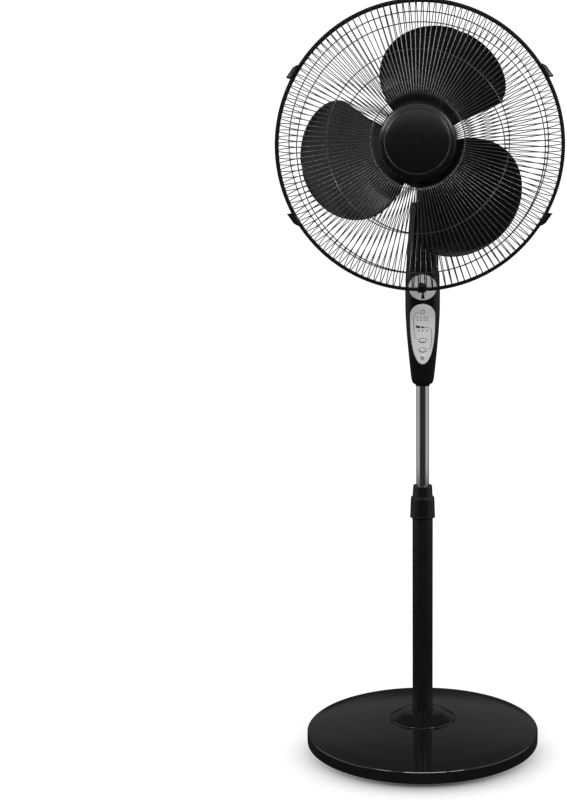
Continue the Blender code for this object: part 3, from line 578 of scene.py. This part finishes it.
for route in (LEFT_ROUTE, RIGHT_ROUTE):
    line = [tuple(p) for p in spline(route, 4)]
    marks += [(bar(*a, *b, 0.00065), None) for a, b in zip(line, line[1:])]
prints("panel_marks", marks, INK)

# ------------------------------------------------------------------ buttons


def cap(name):
    """A domed oval button cap standing out of the panel."""
    z, half_w, half_h, proud = BUTTONS[name]
    face = housing_face(0, z)
    rings = []
    for out, share in ((-0.0060, 1.0), (-0.0011, 1.0), (-0.0006, 0.975), (-0.0003, 0.92),
                       (-0.0001, 0.80), (0.0, 0.55), (0.0, 0.25)):
        rings.append([(half_w * share * math.cos(a), -face - proud - out, z + half_h * share * math.sin(a))
                      for a in turns(56)])
    piece(name + "_cap", loft(rings), name + "_button", BUTTON, [name + "_button"], sharp=50)


def cap_mark(name, outlines):
    """A mark printed on a button's cap."""
    z, _, _, proud = BUTTONS[name]
    top = housing_face(0, z) + proud
    prints(name + "_mark", outlines, INK, 0.00008, lambda x, z: top, name + "_button")


for name in BUTTONS:
    cap(name)
for name in ("speed", "mode"):
    z = BUTTONS[name][0]
    cap_mark(name, [(bar(-0.0018, z, 0.0018, z, 0.0005), None)])
# The plain power mark is an open ring, laid as quads, with a stroke through its gap
outer = arc(0.0, 0.6640, 0.0024, 0.0024, 40, 320, 20)
inner = arc(0.0, 0.6640, 0.0014, 0.0014, 40, 320, 20)
power = [(list(quad), None) for quad in zip(outer, outer[1:], inner[1:], inner)]
power += [(bar(0.0, 0.6645, 0.0, 0.6672, 0.0010), None)]
cap_mark("power", power)

# ------------------------------------------------------------------ saddle on the housing's top


def saddle_shape():
    """A block on the housing's top, hollowed to a cylinder about the tilt pivot just clear of the neck."""
    half_w, half_d, low, hollow = 0.0263, 0.0248, 0.8028, 0.0252
    line = [squarish(half_w, half_d, a, POWER) for a in turns(96)]
    rings = [[(x * share, y * share, low) for x, y in line] for share in (0.05, 0.5, 1.0)]
    for share in (1.0, 0.985, 0.94, 0.88, 0.80, 0.70, 0.60, 0.50, 0.40, 0.30, 0.20, 0.10, 0.03):
        drop = 0.0002 if share == 1.0 else 0.0
        rings.append([(x * share, y * share, PIVOT_Z - math.sqrt(hollow ** 2 - (y * share) ** 2) - drop)
                      for x, y in line])
    return loft(rings)


piece("pivot_saddle", saddle_shape(), "column", SATIN, sharp=50)

# ------------------------------------------------------------------ tilting neck
# Heights over the tilt pivot
NECK_TOP = 0.0775
NECK_LOW_R = 0.0250
NECK_POWER = 2.6
COLLAR_HALF = (0.0199, 0.0184)


def neck_half(z):
    """The neck's half width and half depth: tapered above the pivot, a cylinder about it below."""
    share = max(0.0, z) / NECK_TOP
    half_w = 0.0259 - 0.0059 * share
    half_d = NECK_LOW_R - 0.0065 * share if z >= 0 else math.sqrt(max(0.0, NECK_LOW_R ** 2 - z ** 2))
    return half_w, half_d


def oval(half_w, half_d, z):
    """A ring of the neck's oval section."""
    return [(*squarish(half_w, half_d, a, NECK_POWER), z) for a in turns(96)]


rings = []
for k in range(9):
    z = -0.0240 * math.cos(math.pi / 2 * k / 8)
    rings.append(oval(*neck_half(z), z))
for k in range(1, 13):
    z = (NECK_TOP - 0.0012) * k / 12
    rings.append(oval(*neck_half(z), z))
w, d = neck_half(NECK_TOP)
rings.append(oval(w - 0.0004, d - 0.0004, NECK_TOP - 0.0004))
rings.append(oval(w - 0.0014, d - 0.0014, NECK_TOP))
neck = loft(rings).moved(NECK)
piece("neck_body", neck, "neck", SATIN, ["neck_shell"], sharp=50)
w, d = COLLAR_HALF
rings = [oval(w - 0.0008, d - 0.0008, 0.0778), oval(w, d, 0.0782), oval(w, d, 0.0802),
         oval(w - 0.0006, d - 0.0006, 0.0813), oval(w - 0.0020, d - 0.0020, 0.0818),
         oval(0.0110, 0.0110, 0.0820)]
piece("neck_collar", loft(rings).moved(NECK), "neck", SATIN, ["neck_cap"], sharp=50)
for name, node, side in (("tilt_bolt_head", "tilt_bolt", -1), ("tilt_lock_nut", "tilt_nut", 1)):
    line = [(0.0, 0.0203), (0.0074, 0.0203, 0.0003), (0.0074, 0.0243, 0.0008),
            (0.0058, 0.0251, 0.0006), (0.0, 0.0252)]
    shape = turned(fillet(line, 0.0003), 48, axis="X")
    if side < 0:
        shape.verts = [Vector((-v.x, v.y, v.z)) for v in shape.verts]
    piece(name, shape.moved(NECK), "neck", STEEL, [node])

# ------------------------------------------------------------------ motor
stem = [(0, 0.0866), (0.0105, 0.0866), (0.0105, 0.1096, 0.0008), (0.0125, 0.1100), (0.0125, 0.1118),
        (0, 0.1118)]
piece("head_stem", turned(fillet(stem, 0.0004), 64).moved(HEAD), "head", SATIN,
      ["swivel_bracket"])
bullet = [(0.0570, -0.0380), (0.0570, 0.0050), (0.0560, 0.0220), (0.0540, 0.0380), (0.0500, 0.0560),
          (0.0440, 0.0730), (0.0350, 0.0880), (0.0240, 0.0980), (0.0120, 0.1028), (0.0, 0.1040)]
cover_line = [(0.0570, -0.0396)] + [tuple(p) for p in spline(bullet, 6)]
cover_line += [(0, 0.1012), (0.0226, 0.0956), (0.0418, 0.0712), (0.0514, 0.0372), (0.0545, 0.0050),
               (0.0545, -0.0396)]


def vented(radius, along, angle):
    """Cooling slots pressed into the cover: a belt round its side and a fan of slots at its back."""
    if radius > 0.0548 and -0.0260 < along < 0.0020:
        return radius - 0.0014 * (1.0 if math.cos(36 * angle) > 0.25 else 0.0)
    if 0.0250 < radius < 0.0470 and along > 0.0600:
        low = min(1.0, (radius - 0.0250) / 0.0015, (0.0470 - radius) / 0.0015)
        return radius - 0.0016 * low * (1.0 if math.cos(24 * angle) > 0.2 else 0.0)
    return radius


piece("motor_shell", turned(cover_line, 288, axis="Y", bend=vented).moved(MOTOR), "head", GLOSS,
      ["motor_cover"], sharp=45)
front_line = [(0.0194, -0.0540), (0.0556, -0.0540, 0.0010), (0.0570, -0.0526, 0.0010), (0.0570, -0.0400),
              (0.0545, -0.0400), (0.0545, -0.0515), (0.0194, -0.0515)]
piece("motor_plate", turned(fillet(front_line, 0.0004), 128, axis="Y").moved(MOTOR), "head", SATIN,
      ["motor_front_cover"])


def knobbed(radius, along, angle):
    """Grip scallops round the guard nut."""
    return radius - (0.0009 * max(0.0, math.cos(12 * angle)) if radius > 0.026 else 0.0)


nut_line = [(0.0192, -0.0665), (0.0272, -0.0665, 0.0008), (0.0300, -0.0640, 0.0010),
            (0.0300, -0.0580, 0.0006), (0.0192, -0.0580)]
shape = turned(fillet(nut_line, 0.0004), 144, axis="Y", bend=knobbed)
piece("rear_guard_nut", shape.moved(MOTOR), "head", SATIN, ["guard_nut"])

# ------------------------------------------------------------------ badge
BADGE_R = 0.0584
BADGE_Y = RIM_Y - 0.0640
badge = [(0, BADGE_Y), (0.0550, BADGE_Y), (0.0550, RIM_Y - 0.0510), (BADGE_R, RIM_Y - 0.0510, 0.0004),
         (BADGE_R, BADGE_Y - 0.0018, 0.0010), (0.0566, BADGE_Y - 0.0040, 0.0012),
         (0.0512, BADGE_Y - 0.0055, 0.0003), (0.0507, BADGE_Y - 0.0050, 0.0001),
         (0.0489, BADGE_Y - 0.0050, 0.0001), (0.0484, BADGE_Y - 0.0059, 0.0003)]
crown = [(0.0470, 0.0063), (0.0400, 0.0074), (0.0300, 0.0084), (0.0150, 0.0093), (0.0, 0.0096)]
badge += [tuple(p) for p in spline([(r, BADGE_Y - rise) for r, rise in crown], 4)]
shape = turned(fillet(badge[:-1], 0.0003) + [badge[-1]], 160, axis="Y")
piece("badge_disc", shape.moved(MOTOR), "head", BADGE, ["badge_cap"], sharp=30)
bead = [(0.0505, BADGE_Y - 0.0049), (0.0505, BADGE_Y - 0.0060, 0.0005),
        (0.0491, BADGE_Y - 0.0062, 0.0005), (0.0491, BADGE_Y - 0.0049)]
shape = turned(fillet(bead, 0.0002), 160, axis="Y")
piece("badge_bead", shape.moved(MOTOR), "head", WIRE, sharp=50)

# ------------------------------------------------------------------ wire guards
WIRES = 135
WIRE_R = 0.00076
WIRE_PHASE = 0.25
# (radius, depth) of a wire from the hub to the rim, with depths from the rim's middle plane
FRONT_LINE = [(0.0520, -0.0520), (0.0590, -0.0524), (0.0625, -0.0538), (0.0655, -0.0566), (0.0685, -0.0598),
              (0.0715, -0.0616), (0.0755, -0.0622), (0.0900, -0.0612), (0.1100, -0.0592), (0.1390, -0.0557),
              (0.1720, -0.0495), (0.1985, -0.0391), (0.2140, -0.0240), (0.2200, -0.0105), (0.2226, -0.0030)]
REAR_LINE = [(0.0250, 0.0585), (0.0600, 0.0583), (0.1000, 0.0566), (0.1335, 0.0542), (0.1680, 0.0487),
             (0.1965, 0.0402), (0.2135, 0.0238), (0.2200, 0.0105), (0.2226, 0.0030)]


def guard(name, line, rings_at, node, side):
    """One grille: radial wires along the line, the rings inside them and the rim they end in."""
    shape = Shape()
    path = spline(line, 3)
    for k in range(WIRES):
        angle = 2 * math.pi * (k + WIRE_PHASE) / WIRES
        c, s = math.cos(angle), math.sin(angle)
        points = [(p.x * c, RIM_Y + p.y, p.x * s) for p in path]
        tube(shape, points, WIRE_R, 8, up=(-s, 0, c))
    for radius, y, thick in rings_at:
        ring = [(radius * math.cos(a), RIM_Y + y, radius * math.sin(a)) for a in turns(240)]
        tube(shape, ring, thick, 8, closed=True)
    near, far = RIM_Y + side * 0.0003, RIM_Y + side * 0.0046
    rim = fillet([(0.2199, near), (0.2256, near), (0.2256, far, 0.0012), (0.2199, far, 0.0014)], 0.0004)
    piece(name + "_rim", turned(rim, 240, axis="Y").moved(MOTOR), "head", SATIN)
    piece(name, shape.moved(MOTOR), "head", WIRE, [node], sharp=50)


FRONT_RINGS = [(0.0722, -0.0602, 0.0009), (0.1390, -0.0545, 0.0008), (0.1985, -0.0377, 0.0009)]
REAR_RINGS = [(0.0270, 0.0574, 0.0014), (0.1335, 0.0530, 0.0009), (0.1965, 0.0388, 0.0009)]
guard("front_wire_guard", FRONT_LINE, FRONT_RINGS, "front_grille", -1)
guard("rear_wire_guard", REAR_LINE, REAR_RINGS, "rear_grille", 1)

# ------------------------------------------------------------------ rim clips and lock
RIM_OUT = 0.2262
LOCK_X = 0.0038
CLIP_END, CLIP_PROUD = 0.0124, 0.0057
# (place along the rim, outer radius) of a clip, from its flush end to its proud tip
CLIP_RAMP = [(-0.0125, 0.2262), (-0.0119, 0.2268), (-0.0068, 0.2297), (-0.0056, 0.2302),
             (0.0020, 0.2308), (0.0090, 0.2315), (0.0117, 0.2319), (CLIP_END, 0.2317)]


def clip_section(outer):
    """The (radius, along) section of a clip hooked over the rim, with its back at the outer radius."""
    corners = [(outer, -0.0062, 0.0012), (outer, 0.0062, 0.0012), (RIM_OUT, 0.0088, 0.0006),
               (0.2212, 0.0086, 0.0005), (0.2212, 0.0062, 0.0003), (0.2260, 0.0060, 0.0004),
               (0.2260, -0.0056, 0.0004), (0.2212, -0.0058, 0.0003), (0.2212, -0.0082, 0.0005),
               (RIM_OUT, -0.0084, 0.0006)]
    return fillet(corners, 0.0005, 3)


# A clip's angle on the rim and the way its tip points. The tip is undercut next to the rim
for number, (degrees, tip) in enumerate(((30, 1), (150, -1), (210, 1), (330, -1)), 1):
    rings = []
    for x, outer in CLIP_RAMP:
        ring = []
        for r, along in clip_section(outer):
            undercut = 0.0030 * (1 - max(0.0, r - RIM_OUT) / CLIP_PROUD) if x > 0 else 0.0
            ring.append((tip * (x - undercut * x / CLIP_END), RIM_Y + along, r))
        rings.append(ring)
    turn = Matrix.Rotation(math.radians(90 - degrees), 4, "Y")
    clip = f"rim_clip_{number}"
    shape = loft(rings).moved(MOTOR @ turn)
    piece(f"guard_clip_{number}", shape, clip, SATIN, [clip], sharp=50)
lock = [(0.2280, -0.0090, 0.0012), (0.2280, 0.0090, 0.0012), (0.2122, 0.0090, 0.0020), (0.2122, 0.0060),
        (0.2264, 0.0060), (0.2264, -0.0060), (0.2122, -0.0060), (0.2122, -0.0090, 0.0020)]
outline = fillet(lock, 0.0005, 3)
rings = []
for x in (-0.0060, -0.0058, -0.0051, -0.0038, -0.0020, 0.0, 0.0020, 0.0038, 0.0051, 0.0058, 0.0060):
    narrow = 0.0058 * (1 - math.sqrt(max(0.0, 1 - (x / 0.0061) ** 2)))
    rings.append([(LOCK_X + x, RIM_Y + along, -(r + narrow if r < 0.2180 else r)) for r, along in outline])
piece("guard_lock", loft(rings).moved(MOTOR), "head", SATIN, ["rim_lock"], sharp=50)
tab = [(0.0006, -0.2270), (0.0028, -0.2270), (0.0052, -0.2374, 0.0008), (-0.0008, -0.2374, 0.0008)]
tab = fillet(tab, 0.0006, 3)
rings = [[(LOCK_X + x, RIM_Y + y, z) for x, z in tab] for y in (-0.0078, -0.0058)]
piece("guard_lock_tab", loft(rings).moved(MOTOR), "head", SATIN, sharp=50)
screw = [(0, -0.0114), (0.0026, -0.0112, 0.0006), (0.0034, -0.0104, 0.0004), (0.0034, -0.0093),
         (0.0018, -0.0093), (0.0018, 0.0105), (0, 0.0105)]
shape = turned([(r, RIM_Y + y) for r, y in fillet(screw, 0.0003)], 32, axis="Y")
shape.moved(MOTOR @ Matrix.Translation((LOCK_X, 0, -0.2185)))
piece("guard_lock_screw", shape, "head", SATIN, ["rim_lock_screw"])

# ------------------------------------------------------------------ blades
ROOT_R, TIP_R = 0.0446, 0.1885
BLADE_Y, BLADE_THICK = -0.1050, 0.0022
TIP_ANGLE, LEAD_ANGLE, TRAIL_ANGLE = 70.4, 28.4, 128.5
# Radii from which the two edges curve round to the tip
LEAD_TURNS, TRAIL_TURNS = 0.135, 0.050


def quarter(radius, start):
    """How far an edge has curved round to the tip, from 0 at the start radius to 1 at the tip."""
    share = min(1.0, max(0.0, (radius - start) / (TIP_R - start)))
    return 1 - math.sqrt(1 - share * share)


def petal_edges(radius):
    """The angles of a blade's leading and trailing edges at a radius."""
    root = 5.5 * max(0.0, (LEAD_TURNS - radius) / 0.090) ** 1.3
    lead = LEAD_ANGLE + root + (TIP_ANGLE - LEAD_ANGLE) * quarter(radius, LEAD_TURNS)
    trail = TRAIL_ANGLE - (TRAIL_ANGLE - TIP_ANGLE) * quarter(radius, TRAIL_TURNS)
    return lead, trail


def petal_point(share, t, turn):
    """A point of a blade's middle surface, at a share of its length and a share t of its width."""
    radius = ROOT_R + (TIP_R * 0.9990 - ROOT_R) * math.sin(share * math.pi / 2)
    lead, trail = petal_edges(radius)
    flatter_root = min(1.0, 0.40 + 0.60 * (radius - 0.045) / 0.050)
    pitch = min(0.0225, 0.0006 * (trail - lead) / 2) * flatter_root
    crown = 0.005 * min(1.0, share * 2)
    from_middle = 2 * t - 1
    angle = math.radians(lead + (trail - lead) * t + turn)
    y = BLADE_Y - pitch * from_middle + crown * (1 - from_middle ** 2)
    return radius * math.cos(angle), y, radius * math.sin(angle)


def petal(turn):
    """One pitched, slightly crowned blade as two skins joined along their border."""
    along, across = 44, 30
    layers = []
    for side in (-0.5, 0.5):
        for i in range(along + 1):
            for j in range(across + 1):
                x, y, z = petal_point(i / along, 0.5 * (1 - math.cos(math.pi * j / across)), turn)
                edge = min(1.0, 0.25 + 0.75 * min(j, across - j) / 3, 0.25 + 0.75 * (along - i) / 3)
                layers.append((x, y + side * BLADE_THICK * edge, z))
    wide = across + 1
    second = wide * (along + 1)
    faces = []
    for base in (0, second):
        for i in range(along):
            for j in range(across):
                a = base + i * wide + j
                faces.append([a, a + 1, a + wide + 1, a + wide])
    border = list(range(wide)) + [i * wide + across for i in range(1, along + 1)]
    border += [along * wide + j for j in range(across - 1, -1, -1)]
    border += [i * wide for i in range(along - 1, 0, -1)]
    for a, b in zip(border, border[1:] + border[:1]):
        faces.append([a, b, b + second, a + second])
    return layers, faces


blades = Shape()
hub_line = [(0.0043, -0.1330), (0.0425, -0.1330, 0.0030), (0.0465, -0.1290, 0.0030),
            (0.0465, -0.0780, 0.0006), (0.0435, -0.0780, 0.0006), (0.0435, -0.1290), (0.0110, -0.1290),
            (0.0110, -0.0765), (0.0043, -0.0765)]
made = turned(fillet(hub_line, 0.0006), 128, axis="Y")
blades.add(made.verts, made.faces)
for number in range(3):
    blades.add(*petal(-120 * number))
piece("blade_rotor", blades.moved(MOTOR), "rotor", BLADE, ["fan_blade"], sharp=50)
nut_line = [(0, -0.1530), (0.0080, -0.1526), (0.0130, -0.1506, 0.0020), (0.0190, -0.1440, 0.0020),
            (0.0200, -0.1334), (0.0043, -0.1334), (0.0043, -0.1470), (0, -0.1470)]


def knurled(radius, along, angle):
    """Grip scallops round the spinner nut."""
    return radius - (0.0007 * max(0.0, math.cos(10 * angle)) if radius > 0.0150 else 0.0)


shape = turned(fillet(nut_line, 0.0005), 120, axis="Y", bend=knurled)
piece("spinner_nut", shape.moved(MOTOR), "rotor", SATIN, ["blade_nut"])

# ------------------------------------------------------------------ cord inlet
INLET_Z, INLET_END = 0.6450, 0.0299
inlet = [(0.0028, 0.0135), (0.0046, 0.0135), (0.0046, 0.0204), (0.0068, 0.0204, 0.0004),
         (0.0066, 0.0216, 0.0006)]


def ribbed(radius, along, angle):
    """Rings round the gland's flexible tail."""
    if radius < 0.0042 or along < 0.0230:
        return radius
    return radius - 0.0005 * max(0.0, math.sin((along - 0.0230) * 2 * math.pi / 0.0023))


tail = [(0.0047 - 0.0003 * k / 24, 0.0224 + 0.0075 * k / 24) for k in range(25)]
shape = turned(fillet(inlet, 0.0003) + tail + [(0.0028, INLET_END)], 48, axis="Y", bend=ribbed)
inlet_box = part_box("cord_inlet")
shape.moved(Matrix.Translation((0, inlet_box[1].y - INLET_END, INLET_Z)))
piece("cord_gland", shape, "column", RUBBER, ["cord_inlet"])

# ------------------------------------------------------------------ floor and surroundings


def maths(tree, kind, first, second=None):
    """A math node fed by sockets or plain numbers."""
    node = tree.nodes.new("ShaderNodeMath")
    node.operation = kind
    for socket, value in zip(node.inputs, (first, second)):
        if isinstance(value, (int, float)):
            socket.default_value = value
        elif value is not None:
            tree.links.new(value, socket)
    return node.outputs[0]


def times(tree, first, second):
    """The product of two sockets or numbers."""
    return maths(tree, "MULTIPLY", first, second)


def step(tree, value, low, high, top):
    """A smooth step from 0 at low to top at high."""
    return remap(tree, value, low, high, 0.0, top, smooth=True)


def paper():
    """White paper for the camera, with a painted shadow: darker where the fan is close, most of all in front
    of the base.
    """
    made = bpy.data.materials.new("pale_floor_painted_shadow")
    made.use_nodes = True
    tree = made.node_tree
    nodes, link = tree.nodes, tree.links.new
    nodes.remove(nodes["Principled BSDF"])
    # Painted shadow: ambient occlusion near the fan lowers the paper's glow for the camera, more in front of
    # the base
    near = nodes.new("ShaderNodeAmbientOcclusion")
    near.inputs["Distance"].default_value = 0.25
    near.samples = 16
    open_share = remap(tree, near.outputs["AO"], 0.60, 0.985)
    place = nodes.new("ShaderNodeTexCoord")
    spread = nodes.new("ShaderNodeSeparateXYZ")
    link(place.outputs["Object"], spread.inputs["Vector"])
    in_front = remap(tree, spread.outputs["Y"], 0.0, -0.20, 0.18, 1.0)
    edge = times(tree, maths(tree, "POWER", open_share, 9.0), 0.34)
    lit = maths(tree, "ADD", times(tree, open_share, 0.71), edge)
    painted_shadow = times(tree, maths(tree, "SUBTRACT", 1.02, lit), in_front)
    seen = nodes.new("ShaderNodeLightPath")
    glow = nodes.new("ShaderNodeEmission")
    clear = nodes.new("ShaderNodeBsdfTransparent")
    pick = nodes.new("ShaderNodeMixShader")
    link(maths(tree, "SUBTRACT", 1.07, painted_shadow), glow.inputs["Strength"])
    link(seen.outputs["Is Camera Ray"], pick.inputs["Fac"])
    link(clear.outputs["BSDF"], pick.inputs[1])
    link(glow.outputs["Emission"], pick.inputs[2])
    link(pick.outputs["Shader"], nodes["Material Output"].inputs["Surface"])
    return made


def studio_world():
    """White for the camera. Other rays meet panels at both sides, one in front and a weak one behind."""
    made = bpy.data.worlds.new("studio")
    made.use_nodes = True
    tree = made.node_tree
    nodes, link = tree.nodes, tree.links.new
    spot = nodes.new("ShaderNodeTexCoord")
    split = nodes.new("ShaderNodeSeparateXYZ")
    link(spot.outputs["Generated"], split.inputs["Vector"])
    across, back, height = split.outputs["X"], split.outputs["Y"], split.outputs["Z"]
    beside = step(tree, maths(tree, "ABSOLUTE", across), 0.68, 0.92, 1.0)
    low_and_high = maths(tree, "ADD", step(tree, height, -0.235, -0.175, 0.50),
                         step(tree, height, 0.14, 0.30, 1.00))
    sides = times(tree, beside, low_and_high)
    ceiling = maths(tree, "SUBTRACT", 1.0, step(tree, height, 0.72, 0.88, 0.75))
    front_band = times(tree, step(tree, height, 0.26, 0.50, 1.0), ceiling)
    front = times(tree, step(tree, times(tree, back, -1.0), -0.1, 0.2, 0.95), front_band)
    fade = maths(tree, "SUBTRACT", 1.0, step(tree, height, 0.40, 0.65, 0.55))
    back_band = times(tree, step(tree, height, 0.08, 0.24, 1.0), fade)
    behind = times(tree, step(tree, back, -0.1, 0.3, 0.13), back_band)
    brightest = maths(tree, "MAXIMUM", sides, maths(tree, "MAXIMUM", front, behind))
    soft = nodes.new("ShaderNodeBackground")
    link(maths(tree, "ADD", brightest, 0.035), soft.inputs["Strength"])
    white = nodes["Background"]
    white.inputs["Color"].default_value = (1, 1, 1, 1)
    white.inputs["Strength"].default_value = 1.15
    seen = nodes.new("ShaderNodeLightPath")
    mixer = nodes.new("ShaderNodeMixShader")
    link(seen.outputs["Is Camera Ray"], mixer.inputs["Fac"])
    link(soft.outputs["Background"], mixer.inputs[1])
    link(white.outputs["Background"], mixer.inputs[2])
    link(mixer.outputs["Shader"], nodes["World Output"].inputs["Surface"])
    return made


bpy.ops.mesh.primitive_plane_add(size=30, location=(0, 0, 0))
floor = bpy.context.active_object
floor.name = "studio_floor"
floor.data.materials.append(paper())
bpy.context.scene.world = studio_world()

# ------------------------------------------------------------------ lights


def softbox(name, where, aim, size, power, mirrored=True):
    """A rectangular area light aimed at a point, which glossy surfaces may mirror or not."""
    data = bpy.data.lights.new(name, "AREA")
    data.shape = "RECTANGLE"
    data.size, data.size_y = size
    data.energy = power
    made = bpy.data.objects.new(name, data)
    bpy.context.scene.collection.objects.link(made)
    made.location = where
    made.rotation_euler = (Vector(aim) - Vector(where)).to_track_quat("-Z", "Y").to_euler()
    made.visible_glossy = mirrored
    return made


softbox("key_right", (2.0, -2.6, 3.0), (0, 0, 0.8), (0.9, 1.2), 34)
softbox("fill_left", (-2.2, -2.4, 2.8), (0, 0, 0.8), (0.9, 1.2), 26)
softbox("front_fill", (0.5, -3.4, 1.9), (0, 0, 0.7), (2.2, 1.8), 100, mirrored=False)
# This one lights only the base, for the thin highlight along its front edge
edge_light = softbox("edge_light", (0.1, -2.3, 2.3), (0, -0.2, 0), (1.9, 0.9), 75)
edge_light_takes = bpy.data.collections.new("edge_light_takes")
edge_light_takes.objects.link(bpy.data.objects["base_dome"])
edge_light.light_linking.receiver_collection = edge_light_takes

# ------------------------------------------------------------------ camera
# The photo's view: from the front at about the hub's height, looking a little down, with the fan right of
# the picture's middle
camera_data = bpy.data.cameras.new("camera")
camera_data.lens = 67.5
camera_data.sensor_width = 36.0
camera_data.shift_x = -0.1739
camera = bpy.data.objects.new("camera", camera_data)
bpy.context.scene.collection.objects.link(camera)
camera.location = (0, -2.462, 0.970)
camera.rotation_euler = (math.radians(90 - 8.78), 0, 0)
bpy.context.scene.camera = camera
bpy.context.scene.view_settings.view_transform = "Standard"
